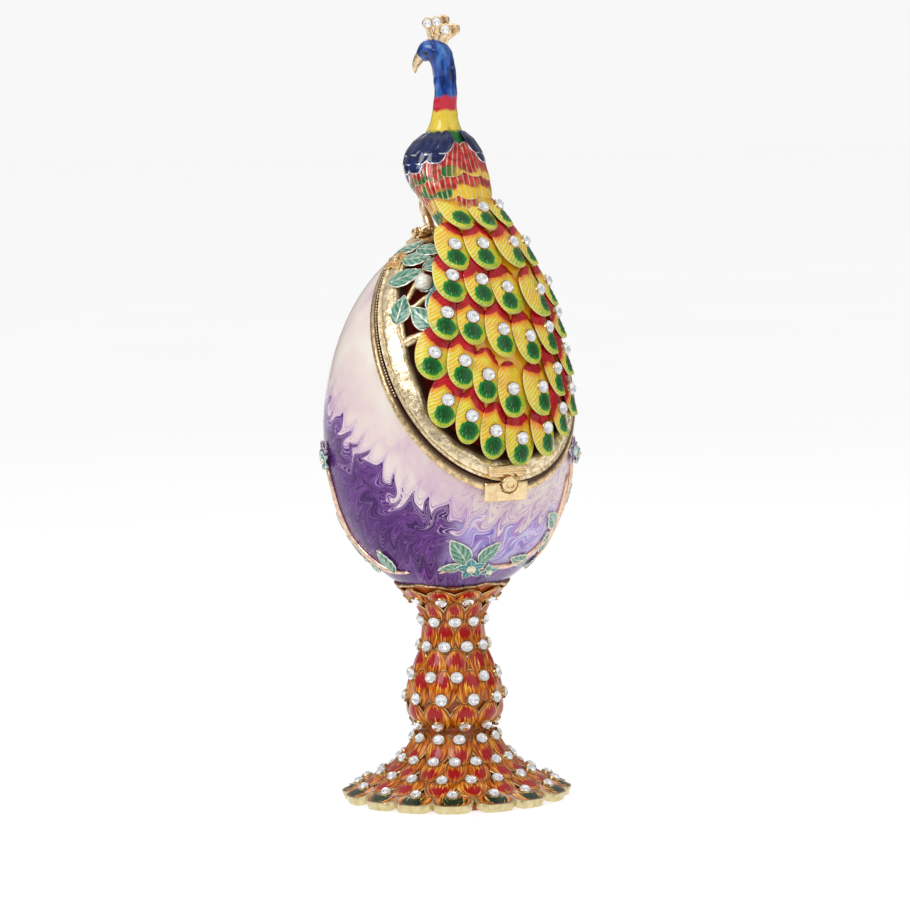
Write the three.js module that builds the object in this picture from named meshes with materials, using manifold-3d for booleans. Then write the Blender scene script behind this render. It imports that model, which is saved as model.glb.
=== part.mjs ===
// A decorative trinket egg: a petalled foot holds a hollow enamelled egg, cut by a slanting seam.
// The openwork lid is hinged at the top of the seam and carries a peacock with a jewelled tail.
// Millimetres, +Z up. The origin is the centre of the foot's flat underside. The lid faces -Y.

import * as THREE from 'three';
import { mergeVertices } from 'three/addons/utils/BufferGeometryUtils.js';
import Module from 'manifold-3d';

const wasm = await Module();
wasm.setup();

// Driving dimensions

// Foot
const FOOT_HEIGHT = 49.2;
const BASE_RADIUS = 25.4;
const BASE_EDGE = 1.3;
const BASE_PETALS = 16;
const STEM_PETALS = 10;
const WAIST_RADIUS = 6.3;
const BULB_RADIUS = 10.3;
const NECK_RADIUS = 7.9;
const CUP_RADIUS = 11.6;
const PETAL_RELIEF = 0.9;
const SEAT_DEPTH = 1.1;

// Egg
const EGG_RADIUS = 28.0;
const EGG_RISE = 42.1;
const EGG_DROP = 38.1;
const CROWN_FULLNESS = 1.83;
const BOWL_FULLNESS = 2.2;
const WALL = 2.0;
const RIM_WIDTH = 1.4;
const RIM_PROUD = 0.8;

// Seam and lid
const SEAM_LEAN = 30.4;
const SEAM_OFFSET = 18.4;
const SEAM_GAP = 0.35;
const BAND_WIDTH = 4.5;
const BAND_PROUD = 0.9;
const BAND_DEPTH = 1.7;
const BRANCH_RADIUS = 0.9;
const VINE_RADIUS = 0.75;
const LEAF_RELIEF = 0.9;

// Hinge and catch
const PIN_RADIUS = 0.55;
const KNUCKLE_RADIUS = 1.3;
const HINGE_WIDTH = 10;
const LEAF_LENGTH = 5;
const LEAF_THICK = 0.8;
const CATCH_WIDTH = 9.9;
const CATCH_HEIGHT = 4.2;
const CATCH_BOSS_RADIUS = 2.0;
const CATCH_SWING = -4;

// Peacock
const BIRD_HEIGHT = 49.5;
const BIRD_TURN = 5.5;
const TAIL_LIFT = 1.1;
const TAIL_STANDOFF = 0.29;
const TAIL_HALF_WIDTH = 22;
const PLUME_THICK = 1.6;
const PLUME_LENGTH = 12.6;
const CRYSTAL_RADIUS = 1.3;
const CRYSTAL_HEIGHT = 1.0;

// Clearance between pieces that touch
const GAP = 0.3;

// Places worked out from the sizes
const cupMouth = CUP_RADIUS - 0.6;
const seatDrop = EGG_DROP * (1 - (cupMouth / EGG_RADIUS) ** 2) ** (1 / BOWL_FULLNESS);
const eggCentre = FOOT_HEIGHT - SEAT_DEPTH + seatDrop;
const eggTop = eggCentre + EGG_RISE;
const lean = THREE.MathUtils.degToRad(SEAM_LEAN);
const seamNormal = new THREE.Vector3(0, -Math.cos(lean), Math.sin(lean));
const lidStart = SEAM_OFFSET + SEAM_GAP;
const far = 200;

// Closed solids

function toSolid(geometry) {
  const bare = geometry.clone();
  bare.deleteAttribute('normal');
  bare.deleteAttribute('uv');
  const merged = mergeVertices(bare, 1e-4);
  const place = merged.attributes.position;
  const index = merged.index.array;
  const corners = [new THREE.Vector3(), new THREE.Vector3(), new THREE.Vector3()];
  let faces = [];
  let volume = 0;
  for (let i = 0; i < index.length; i += 3) {
    const [a, b, c] = [index[i], index[i + 1], index[i + 2]];
    if (a === b || b === c || c === a) continue;
    corners[0].fromBufferAttribute(place, a);
    corners[1].fromBufferAttribute(place, b);
    corners[2].fromBufferAttribute(place, c);
    volume += corners[0].dot(corners[1].cross(corners[2]));
    faces.push([a, b, c]);
  }
  if (volume < 0) faces = faces.map(([a, b, c]) => [a, c, b]);
  return new wasm.Manifold(new wasm.Mesh({
    numProp: 3,
    vertProperties: new Float32Array(place.array),
    triVerts: new Uint32Array(faces.flat()),
  }));
}

function toGeometry(solid) {
  const mesh = solid.getMesh();
  const geometry = new THREE.BufferGeometry();
  geometry.setAttribute('position', new THREE.BufferAttribute(new Float32Array(mesh.vertProperties), 3));
  geometry.setIndex(new THREE.BufferAttribute(new Uint32Array(mesh.triVerts), 1));
  geometry.computeVertexNormals();
  return geometry;
}

function join(geometries) {
  return geometries.map(toSolid).reduce((whole, piece) => whole.add(piece));
}

// The largest body of a solid, without the crumbs that a cut may leave
function mainBody(solid) {
  const bodies = solid.decompose();
  return bodies.reduce((best, body) => (body.volume() > best.volume() ? body : best));
}

function reshape(geometry, move) {
  const place = geometry.attributes.position;
  for (let i = 0; i < place.count; i += 1) {
    const point = move(place.getX(i), place.getY(i), place.getZ(i));
    place.setXYZ(i, point.x, point.y, point.z);
  }
  return geometry;
}

// An oval scale, thick in the middle: local x is its width, y its length, z its thickness
function scale(halfWidth, halfLength, halfThick, sides = 8, rings = 3) {
  const geometry = new THREE.SphereGeometry(1, sides, rings);
  geometry.rotateX(Math.PI / 2);
  geometry.scale(halfWidth, halfLength, halfThick);
  return geometry;
}

function tube(points, radius, steps, sides = 5) {
  const section = new THREE.Shape();
  for (let i = 0; i < sides; i += 1) {
    const angle = (2 * Math.PI * i) / sides;
    const corner = [radius * Math.cos(angle), radius * Math.sin(angle)];
    if (i === 0) section.moveTo(...corner);
    else section.lineTo(...corner);
  }
  section.closePath();
  const path = new THREE.CatmullRomCurve3(points);
  return new THREE.ExtrudeGeometry(section, { steps, bevelEnabled: false, extrudePath: path });
}

// A lofted form: stations are [centre, half width along side, half depth]
function loft(stations, side, sides, rows) {
  const path = new THREE.CatmullRomCurve3(stations.map((station) => station[0]));
  const widths = new THREE.CatmullRomCurve3(stations.map((s) => new THREE.Vector3(s[1], s[2], 0)));
  const geometry = new THREE.CylinderGeometry(1, 1, 1, sides, rows);
  return reshape(geometry, (x, y, z) => {
    const t = y + 0.5;
    const along = path.getTangent(t);
    const across = side.clone().addScaledVector(along, -side.dot(along)).normalize();
    const front = along.clone().cross(across);
    const half = widths.getPoint(t);
    return path.getPoint(t).addScaledVector(across, x * half.x).addScaledVector(front, z * half.y);
  });
}

// The slice of space between two distances from the egg's centre, measured square to the seam
function slice(low, high, halfWidth = far) {
  const block = new THREE.BoxGeometry(2 * halfWidth, far, high - low);
  block.applyQuaternion(new THREE.Quaternion().setFromUnitVectors(new THREE.Vector3(0, 0, 1), seamNormal));
  const middle = seamNormal.clone().multiplyScalar((low + high) / 2);
  block.translate(middle.x, middle.y, middle.z + eggCentre);
  return toSolid(block);
}

// The lid side of the seam as far as the band's inner edge, a plane that leans a little more
function bandSlice() {
  const topShare = 0.95;
  const footShare = 0.68;
  const length = EGG_RISE + EGG_DROP;
  const tip = Math.atan((BAND_WIDTH * (topShare - footShare)) / (0.77 * length));
  const block = new THREE.BoxGeometry(far, far, far);
  block.translate(0, 0, -far / 2);
  block.rotateX(tip);
  block.rotateX(Math.PI / 2 - lean);
  const middle = seamNormal.clone().multiplyScalar(lidStart + (BAND_WIDTH * (topShare + footShare)) / 2 - 0.2);
  block.translate(middle.x, middle.y, middle.z + eggCentre);
  return slice(lidStart, far).intersect(toSolid(block));
}

// The egg and places on it

// The egg's radius at a height over its centre: full below, more pointed above
function eggRadius(height, offset = 0) {
  const half = (height > 0 ? EGG_RISE : EGG_DROP) + offset;
  const fullness = height > 0 ? CROWN_FULLNESS : BOWL_FULLNESS;
  return (EGG_RADIUS + offset) * Math.sqrt(Math.max(0, 1 - Math.abs(height / half) ** fullness));
}

// How far the egg's outward normal leans out (x) and up (y) at a height
function eggNormal(height) {
  const half = height > 0 ? EGG_RISE : EGG_DROP;
  const fullness = height > 0 ? CROWN_FULLNESS : BOWL_FULLNESS;
  const upward = (Math.sign(height) * fullness * Math.abs(height / half) ** (fullness - 1)) / half;
  return new THREE.Vector2((2 * eggRadius(height)) / EGG_RADIUS ** 2, upward).normalize();
}

function egg(offset, sides = 28, rows = 12) {
  const outline = [];
  for (let i = 0; i <= rows; i += 1) {
    const angle = -Math.PI / 2 + (Math.PI * i) / rows;
    const height = ((angle > 0 ? EGG_RISE : EGG_DROP) + offset) * Math.sin(angle);
    const radius = i === 0 || i === rows ? 0 : eggRadius(height, offset);
    outline.push(new THREE.Vector2(radius, height));
  }
  const geometry = new THREE.LatheGeometry(outline, sides);
  geometry.rotateX(Math.PI / 2);
  geometry.translate(0, 0, eggCentre);
  return toSolid(geometry);
}

// A point on the egg: azimuth in degrees from -Y towards +X, height over the centre, offset outwards
function onEgg(azimuth, height, offset) {
  const angle = THREE.MathUtils.degToRad(azimuth);
  const out = eggNormal(height);
  const reach = eggRadius(height) + offset * out.x;
  const z = eggCentre + height + offset * out.y;
  return new THREE.Vector3(reach * Math.sin(angle), -reach * Math.cos(angle), z);
}

// Lays a flat form on the egg, turned by a number of degrees about the surface's normal
function layOnEgg(geometry, azimuth, height, turn, offset) {
  const radius = eggRadius(height);
  const steep = eggNormal(height).x;
  const angle = THREE.MathUtils.degToRad(turn);
  return reshape(geometry, (x, y, z) => {
    const across = x * Math.cos(angle) - y * Math.sin(angle);
    const up = x * Math.sin(angle) + y * Math.cos(angle);
    const swing = THREE.MathUtils.radToDeg(across / radius);
    return onEgg(azimuth + swing, height + up * steep, offset + z);
  });
}

function vine(spots, offset, radius, steps, sides = 4) {
  return tube(spots.map(([azimuth, share]) => onEgg(azimuth, share * EGG_RISE, offset)), radius, steps, sides);
}

function leafOnEgg(azimuth, share, turn, halfWidth, halfLength, offset) {
  return layOnEgg(scale(halfWidth, halfLength, LEAF_RELIEF, 6, 2), azimuth, share * EGG_RISE, turn, offset);
}

function flowerOnEgg(azimuth, share, petals, size, offset) {
  const parts = [leafOnEgg(azimuth, share, 0, size * 0.45, size * 0.45, offset + 0.5)];
  for (let i = 0; i < petals; i += 1) {
    const turn = (360 * i) / petals;
    const petal = scale(size * 0.42, size * 0.62, 0.7, 5, 2);
    petal.translate(0, size * 0.62, 0);
    parts.push(layOnEgg(petal, azimuth, share * EGG_RISE, turn, offset));
  }
  return parts;
}

// The foot: one casting, rows of overlapping petals on a baluster, with a cup for the egg

// Petals in staggered rows: along runs from 0 at a petal's root to 1 at its tip
function petalRelief(azimuth, row, along, count) {
  const stagger = row % 2 ? 0.5 : 0;
  const turn = (azimuth / (2 * Math.PI)) * count + stagger;
  const across = Math.abs(turn - Math.round(turn)) * 2;
  const width = 1 - 0.55 * along;
  return PETAL_RELIEF * ((0.35 + 0.65 * along) * Math.max(0, 1 - (across / width) ** 2) - 0.3);
}

// A turned form whose outline is a curve through [radius, height], with rows of petals along it
function petalledForm(outline, rows, count, sides, closeTop) {
  const curve = new THREE.SplineCurve(outline.map(([r, z]) => new THREE.Vector2(r, z)));
  const points = [new THREE.Vector2(0, outline[0][1]), curve.getPointAt(0)];
  const steps = [];
  for (let row = 0; row < rows; row += 1) {
    for (const along of [0.12, 0.85]) {
      points.push(curve.getPointAt((row + along) / rows));
      steps.push([row, along]);
    }
  }
  points.push(curve.getPointAt(1), new THREE.Vector2(0, outline[outline.length - 1][1]));
  const geometry = new THREE.LatheGeometry(points, sides);
  const ringOf = (y, r) => points.findIndex((point) => Math.hypot(point.y - y, point.x - r) < 1e-4) - 2;
  return reshape(geometry, (x, y, z) => {
    const radius = Math.hypot(x, z);
    const azimuth = Math.atan2(x, z);
    const step = steps[ringOf(y, radius)];
    const [row, along] = step || [0, 0];
    const tipUp = closeTop ? along : 1 - along;
    const grown = radius + (step ? petalRelief(azimuth, row, tipUp, count) : 0);
    return new THREE.Vector3(grown * Math.sin(azimuth), -grown * Math.cos(azimuth), y);
  });
}

function makeFoot() {
  const neckZ = 0.335 * FOOT_HEIGHT;
  const stemLow = 0.24 * FOOT_HEIGHT;
  const spread = BASE_RADIUS - NECK_RADIUS;
  const baseOutline = [
    [0.965, 0.09], [0.82, 0.14], [0.66, 0.22], [0.48, 0.34], [0.31, 0.47], [0.19, 0.6], [0.1, 0.75], [0.04, 0.92],
  ].map(([out, up]) => [NECK_RADIUS + spread * out, neckZ * up]);
  const skirt = petalledForm(baseOutline, 4, BASE_PETALS, BASE_PETALS * 2, false);
  const edge = new THREE.Shape();
  const lobes = BASE_PETALS * 4;
  for (let i = 0; i < lobes; i += 1) {
    const angle = (2 * Math.PI * i) / lobes;
    const lobe = Math.abs(Math.cos((angle * BASE_PETALS) / 2)) ** 0.6;
    const reach = BASE_RADIUS * (0.93 + 0.07 * lobe);
    const corner = [reach * Math.sin(angle), -reach * Math.cos(angle)];
    if (i === 0) edge.moveTo(...corner);
    else edge.lineTo(...corner);
  }
  edge.closePath();
  const plate = new THREE.ExtrudeGeometry(edge, { depth: BASE_EDGE + 0.3, bevelEnabled: false });
  const rise = FOOT_HEIGHT - neckZ;
  const bulge = BULB_RADIUS - WAIST_RADIUS;
  const flare = CUP_RADIUS - WAIST_RADIUS;
  const stemOutline = [[NECK_RADIUS - 0.3, stemLow], [NECK_RADIUS, neckZ]];
  for (const [up, out] of [[0.08, 0.93], [0.16, 1], [0.26, 0.92], [0.38, 0.63], [0.5, 0.28], [0.6, 0.04], [0.68, 0]]) {
    stemOutline.push([WAIST_RADIUS + bulge * out, neckZ + rise * up]);
  }
  for (const [up, out] of [[0.78, 0.12], [0.87, 0.4], [0.94, 0.74], [1, 1]]) {
    stemOutline.push([WAIST_RADIUS + flare * out, neckZ + rise * up]);
  }
  const stem = petalledForm(stemOutline, 8, STEM_PETALS, STEM_PETALS * 3, true);
  return join([plate, skirt, stem]).subtract(egg(GAP));
}

// The hollow egg body, with its raised rim along the seam and a relief vine round it

function vineSpray(azimuth) {
  const stem = [[0, -0.13], [4, -0.28], [3, -0.41], [1, -0.53], [10, -0.645], [24, -0.725], [46, -0.735]];
  return [
    vine(stem.map(([swing, share]) => [azimuth + swing, share]), 0.2, VINE_RADIUS, 7),
    ...flowerOnEgg(azimuth, -0.126, 5, 2.6, 0.7),
    leafOnEgg(azimuth - 9, -0.48, 60, 1.7, 3.2, 0.6),
    leafOnEgg(azimuth + 31, -0.67, 10, 1.8, 3.2, 0.6),
    leafOnEgg(azimuth + 7, -0.72, -70, 1.4, 2.6, 0.6),
  ];
}

function vineGarland(azimuth) {
  return [
    vine([[-30, -0.735], [-14, -0.7], [6, -0.71], [28, -0.7], [46, -0.62], [53, -0.5], [53, -0.24]]
      .map(([swing, share]) => [azimuth + swing, share]), 0.2, VINE_RADIUS, 8),
    leafOnEgg(azimuth - 14, -0.61, 30, 1.9, 3.4, 0.6),
    leafOnEgg(azimuth + 1, -0.62, -35, 1.7, 3.0, 0.6),
    leafOnEgg(azimuth + 30, -0.68, 75, 1.5, 3.1, 0.6),
    leafOnEgg(azimuth + 66, -0.36, -40, 1.6, 2.8, 0.6),
    ...flowerOnEgg(azimuth - 7, -0.705, 4, 2.0, 0.7),
  ];
}

const sprays = [-108, 45, 150];
const garlands = [-10];
const backGarlands = [96, -158];

function hingeLine() {
  const top = new THREE.Vector3();
  let closest = Infinity;
  for (let height = EGG_RISE; height > 0.9 * EGG_RISE; height -= 0.01) {
    const spot = onEgg(180, height, 0);
    const front = onEgg(0, height, 0);
    for (const point of [spot, front]) {
      const apart = Math.abs((point.z - eggCentre) * seamNormal.z + point.y * seamNormal.y - SEAM_OFFSET);
      if (apart < closest) {
        closest = apart;
        top.copy(point);
      }
    }
  }
  return top.add(new THREE.Vector3(0, 0.1, 0.99).multiplyScalar(KNUCKLE_RADIUS + 0.4));
}

const hingeAt = hingeLine();

function bar(radius, from, to, sides = 12) {
  const geometry = new THREE.CylinderGeometry(radius, radius, to - from, sides);
  geometry.rotateZ(Math.PI / 2);
  geometry.translate((from + to) / 2, hingeAt.y, hingeAt.z);
  return toSolid(geometry);
}

const halfHinge = HINGE_WIDTH / 2;
const halfMiddle = 0.38 * halfHinge;
const knuckleRoom = bar(KNUCKLE_RADIUS + GAP, -halfHinge - 1.4, halfHinge + 1.4);

function makeShell() {
  const hollow = egg(-WALL, 20, 10);
  const body = egg(0).intersect(slice(-far, SEAM_OFFSET - RIM_WIDTH + 0.2));
  const rim = egg(RIM_PROUD).intersect(slice(SEAM_OFFSET - RIM_WIDTH, SEAM_OFFSET));
  const vines = join([
    ...sprays.flatMap(vineSpray),
    ...garlands.flatMap(vineGarland),
    ...backGarlands.flatMap((azimuth) => vineGarland(azimuth).slice(0, 4)),
  ]);
  const shell = body.add(rim).add(vines.intersect(slice(-far, SEAM_OFFSET)));
  return mainBody(shell.subtract(hollow).subtract(knuckleRoom));
}

// The hinge: two leaves soldered over the bands, and a pin through their knuckles

function hingeBore() {
  return bar(PIN_RADIUS + GAP, -far, far);
}

function leafPlate(low, high, halfWidth) {
  const plate = egg(BAND_PROUD + GAP + LEAF_THICK).subtract(egg(BAND_PROUD + GAP));
  const behind = new THREE.BoxGeometry(far, far, far);
  behind.translate(0, 0, eggTop - 8 + far / 2);
  return plate.intersect(slice(low, high, halfWidth)).intersect(toSolid(behind));
}

function makeBodyLeaf() {
  const ears = bar(KNUCKLE_RADIUS, -halfHinge, -halfMiddle - GAP).add(bar(KNUCKLE_RADIUS, halfMiddle + GAP, halfHinge));
  const plate = leafPlate(SEAM_OFFSET - LEAF_LENGTH, SEAM_OFFSET + 0.8, halfHinge);
  const room = bar(KNUCKLE_RADIUS + GAP, -halfMiddle - GAP, halfMiddle + GAP);
  return mainBody(ears.add(plate.subtract(room)).subtract(hingeBore()));
}

function makeLidLeaf() {
  const middle = bar(KNUCKLE_RADIUS, -halfMiddle, halfMiddle);
  const plate = leafPlate(SEAM_OFFSET + 0.9, SEAM_OFFSET + 0.6 * LEAF_LENGTH + 1, 0.85 * halfMiddle);
  return mainBody(middle.add(plate).subtract(hingeBore()));
}

function makePin() {
  const head = 0.7;
  const end = halfHinge + GAP;
  const shaft = bar(PIN_RADIUS, -end - 0.1, end + 0.1, 10);
  return shaft.add(bar(PIN_RADIUS + 0.4, -end - head, -end, 10)).add(bar(PIN_RADIUS + 0.4, end, end + head, 10));
}

// The catch: a curved plate with a round boss on the body, and a notched lip on the lid

const seamFoot = (() => {
  let best = null;
  for (let height = 0; height > -0.9 * EGG_DROP; height -= 0.01) {
    const point = onEgg(CATCH_SWING, height, 0);
    const apart = (point.z - eggCentre) * seamNormal.z + point.y * seamNormal.y - SEAM_OFFSET;
    if (best === null && apart < 0) best = height;
  }
  return best;
})();

function catchBlock(low, high, halfWidth) {
  const middle = onEgg(CATCH_SWING, seamFoot, 0);
  const block = new THREE.BoxGeometry(2 * halfWidth, 16, 16);
  block.rotateZ(THREE.MathUtils.degToRad(CATCH_SWING));
  block.translate(middle.x, middle.y, middle.z);
  return slice(low, high).intersect(toSolid(block));
}

function catchBoss(radius) {
  const boss = new THREE.CylinderGeometry(radius, radius, 2.6, 12);
  boss.rotateX(Math.PI / 2);
  boss.translate(0, 0, 1.3);
  return toSolid(layOnEgg(boss, CATCH_SWING, seamFoot - 0.4, 0, BAND_PROUD + GAP));
}

function makeCatchPlate() {
  const plate = catchBlock(SEAM_OFFSET - 0.68 * CATCH_HEIGHT, SEAM_OFFSET - 0.1, CATCH_WIDTH / 2)
    .intersect(egg(RIM_PROUD + GAP + 1.1));
  const rimRoom = egg(RIM_PROUD + GAP).intersect(slice(SEAM_OFFSET - RIM_WIDTH - GAP, SEAM_OFFSET + 1));
  const shellRoom = egg(GAP);
  return mainBody(plate.subtract(rimRoom).subtract(shellRoom).add(catchBoss(CATCH_BOSS_RADIUS)).subtract(rimRoom));
}

function makeCatchLip() {
  const lip = catchBlock(lidStart, lidStart + 1.8, 0.43 * CATCH_WIDTH).intersect(egg(2.4)).subtract(egg(-0.4));
  return lip;
}

// The peacock: one casting, standing on the lid band with its tail down over the lid

const birdScale = BIRD_HEIGHT / 49.5;
const turnBird = THREE.MathUtils.degToRad(BIRD_TURN);

// Bird coordinates: x across, h forward towards the tail's side, z over the egg's top
function inBird(x, h, z) {
  const c = Math.cos(turnBird);
  const s = Math.sin(turnBird);
  const k = birdScale;
  return new THREE.Vector3(k * (c * x + s * h), k * (s * x - c * h), eggTop + k * z);
}

const tailReach = (v) => (v > 0 ? 0.936 * EGG_RISE + TAIL_STANDOFF * v : EGG_DROP + TAIL_LIFT);
const tailCentre = (v) => (EGG_RADIUS + TAIL_LIFT) * Math.sqrt(Math.max(1e-4, 1 - (v / tailReach(v)) ** 2));

function onTail(u, v, offset) {
  const centre = tailCentre(v);
  const step = 0.05;
  const slope = Math.atan(-(tailCentre(v + step) - tailCentre(v - step)) / (2 * step));
  const bend = centre + 0.07 * Math.max(0, v);
  const angle = u / bend;
  const reach = bend + offset * Math.cos(slope);
  const x = reach * Math.sin(angle);
  const h = centre - bend + reach * Math.cos(angle);
  const z = eggCentre + v + offset * Math.sin(slope);
  const c = Math.cos(turnBird);
  const s = Math.sin(turnBird);
  return new THREE.Vector3(c * x + s * h, s * x - c * h, z);
}

function layOnTail(geometry, u, v, offset, tilt) {
  const step = 0.05;
  const slope = Math.atan(-(tailCentre(v + step) - tailCentre(v - step)) / (2 * step));
  const angle = THREE.MathUtils.degToRad(1.1 * u);
  return reshape(geometry, (x, y, z) => {
    const across = x * Math.cos(angle) - y * Math.sin(angle);
    const up = x * Math.sin(angle) + y * Math.cos(angle);
    return onTail(u + across, v + up * Math.cos(slope), offset + z - tilt * y);
  });
}

// Tail tiers from the rump down: low and rise are shares of the egg's rise,
// at, half and across are shares of the tail's half width
const tiers = [
  { low: 1.154, at: 0.08, half: 1, rise: 0.05, across: [-0.2, 0.08, 0.36] },
  { low: 0.972, at: 0.08, half: 1, rise: 0.0, across: [-0.395, -0.105, 0.3, 0.56] },
  { low: 0.717, at: 0.36, half: 0.91, rise: 0.1, across: [-0.52, -0.24, 0.02, 0.5, 0.78] },
  { low: 0.492, at: 0.19, half: 0.864, rise: 0.138, across: [-0.664, -0.427, -0.136, 0.173, 0.49, 0.78] },
  { low: 0.209, at: 0.055, half: 0.918, rise: 0.221, across: [-0.864, -0.586, -0.377, -0.132, 0.236, 0.505, 0.777] },
  { low: -0.024, at: -0.036, half: 1.227, rise: 0.309, across: [-0.8, -0.582, -0.35, -0.064, 0.264, 0.523, 0.764] },
];
const bareSpots = ['0:0'];

function tierHeight(tier, share) {
  const swing = Math.min(1, Math.abs(share - tier.at) / tier.half);
  return EGG_RISE * (tier.low + (tier.rise / 2) * (1 - Math.cos(Math.PI * swing)));
}

// The sheet that the plumes lie on, narrow at the rump and wide over the lid
function vane(grow) {
  const top = 1.21 * EGG_RISE;
  const foot = -0.09 * EGG_RISE;
  const sheet = new THREE.BoxGeometry(2, 2, 1.1 + 2 * grow, 4, 7, 1);
  return reshape(sheet, (x, y, z) => {
    const share = (1 - y) / 2;
    const half = TAIL_HALF_WIDTH * (0.3 + 0.62 * Math.sin((Math.PI / 2) * Math.min(1, share * 1.25))) + grow;
    const dip = 0.42 * EGG_RISE * x ** 2 * share ** 3;
    const v = top + (foot - top) * share + dip + y * grow;
    return onTail(x * half, v, z - 1.2);
  });
}

function plumes(grow) {
  const parts = [vane(grow)];
  for (const tier of tiers) {
    tier.across.forEach((share, i) => {
      const before = i > 0 ? share - tier.across[i - 1] : 0.3;
      const after = i + 1 < tier.across.length ? tier.across[i + 1] - share : 0.3;
      const halfWidth = Math.max(0.17, (before + after) / 4 + 0.02) * TAIL_HALF_WIDTH;
      const plume = scale(halfWidth + grow, PLUME_LENGTH / 2 + grow, PLUME_THICK / 2 + grow, 7);
      parts.push(layOnTail(plume, share * TAIL_HALF_WIDTH, tierHeight(tier, share), 0.1 - PLUME_THICK / 2, 0.1));
    });
  }
  return parts;
}

function makeBirdBody(grow) {
  const g = grow;
  const side = inBird(1, 0, 0).sub(inBird(0, 0, 0)).normalize();
  const trunk = loft([
    [inBird(0, 8.6, 0.6), 4.6 + g, 1.6 + g], [inBird(0, 8.2, 2.2), 7 + g, 3 + g], [inBird(0, 6.9, 5), 8.6 + g, 4.8 + g],
    [inBird(0, 5.0, 8.5), 9.2 + g, 6.3 + g], [inBird(0, 3.0, 12), 9.4 + g, 7 + g], [inBird(0, 1.2, 15.5), 9.3 + g, 7.1 + g],
    [inBird(0, 0.6, 19), 8.2 + g, 6.4 + g], [inBird(0, 0.9, 22), 5.6 + g, 4.9 + g], [inBird(0, 1.1, 24.6), 3.6 + g, 3.5 + g],
    [inBird(0, 1.1, 27.2), 2.9 + g, 2.9 + g],
  ], side, 10, 9);
  const faceAway = new THREE.Vector3(0.772, -0.636, 0);
  const headSide = inBird(faceAway.x, faceAway.y, 0).sub(inBird(0, 0, 0)).normalize();
  const ahead = (t, z) => inBird(-0.636 * t, 1.5 - 0.772 * t, z);
  const neck = loft([
    [inBird(0, 1.1, 26), 3.1 + g, 3.1 + g], [inBird(0, 1.4, 29), 2.7 + g, 2.7 + g], [inBird(0, 1.9, 32.6), 2.5 + g, 2.45 + g],
    [ahead(0, 36.2), 2.45 + g, 2.5 + g], [ahead(0.5, 38.6), 2.5 + g, 2.6 + g], [ahead(1.6, 40.4), 2.6 + g, 2.7 + g],
    [ahead(3.3, 40.6), 2.4 + g, 2.5 + g], [ahead(4.7, 39.4), 1.7 + g, 1.7 + g], [ahead(5.5, 38.3), 1.0 + g, 0.95 + g],
    [ahead(6.2, 37.2), 0.65 + g, 0.6 + g], [ahead(6.6, 36.2), 0.2 + g, 0.2 + g],
  ], headSide, 7, 11);
  const parts = [trunk, neck];
  for (const x of [-1, 1]) {
    const wing = new THREE.SphereGeometry(1, 8, 4);
    parts.push(reshape(wing, (a, b, c) => inBird(
      x * 4.7 + a * (4.1 + g), 0.8 + c * (4.7 + g), 17.7 + b * (5.8 + g),
    )));
    const leg = [inBird(x * 3.6, -3, 12), inBird(x * 3.4, -2.6, 7), inBird(x * 3.1, -1.2, 3), inBird(x * 3.1, -0.6, 2.2)];
    parts.push(tube(leg, 1.1 + g, 3, 5));
    const foot = new THREE.SphereGeometry(1, 6, 4);
    parts.push(reshape(foot, (a, b, c) => inBird(
      x * 3.1 + a * (1.6 + g), -0.3 + c * (2.1 + g), 2.1 + b * (0.9 + g),
    )));
  }
  const rows = [[14.6, 5, 0], [10.6, 5, 0.5]];
  for (const [z, count, shift] of rows) {
    for (let i = 0; i < count; i += 1) {
      const angle = ((i - (count - 1) / 2) * 30 * Math.PI) / 180;
      const cape = scale(2.7 + g, 4.2 + g, 0.9 + g, 6);
      parts.push(reshape(cape, (a, b, c) => {
        const round = angle + a / 8.5;
        const drop = Math.abs(angle) * 2.4;
        const middle = 1.2 + 0.52 * (15.5 - z) + shift;
        const reach = 7.3 + c - 0.12 * b;
        return inBird((reach + 2) * Math.sin(round), middle + reach * Math.cos(round) - 0.3 * b, z - drop + b * 0.9);
      }));
    }
  }
  return parts;
}

const crestLobes = [
  { ahead: 3.3, side: 0.5, z: 47.7 }, { ahead: 1.1, side: 0.7, z: 47.9 }, { ahead: -0.8, side: 0.7, z: 46.2 },
  { ahead: 0.2, side: -1.1, z: 48.2 }, { ahead: -2.2, side: -0.9, z: 46.2 },
];
const nearSide = new THREE.Vector3(-0.77, 0.64, 0);

function inCrest(lobe, ahead, side, z) {
  const t = lobe.ahead + ahead;
  const out = lobe.side + side;
  return inBird(-0.636 * t + nearSide.x * out, 1.5 - 0.772 * t + nearSide.y * out, lobe.z + z);
}

function makeCrest(grow) {
  const parts = [];
  for (const lobe of crestLobes) {
    const disc = new THREE.SphereGeometry(1, 6, 3);
    parts.push(reshape(disc, (a, b, c) => inCrest(lobe, a * (1.35 + grow), c * (0.7 + grow), b * (1.3 + grow))));
    const root = { ahead: 1.1 + 0.3 * lobe.ahead, side: 0.4 * lobe.side, z: 42.2 };
    const middle = { ahead: 0.8 + 0.55 * lobe.ahead, side: 0.6 * lobe.side, z: 44.2 };
    const points = [inCrest(root, 0, 0, 0), inCrest(middle, 0, 0, 0), inCrest(lobe, 0, 0, -0.4)];
    parts.push(tube(points, 0.6 + grow, 2, 4));
  }
  return parts;
}

function makePeacock(grow = 0) {
  return join([...makeBirdBody(grow), ...makeCrest(grow), ...plumes(grow)]);
}

// The lid: a band round the opening, branches, leaves and buds, cast as one openwork piece

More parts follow.
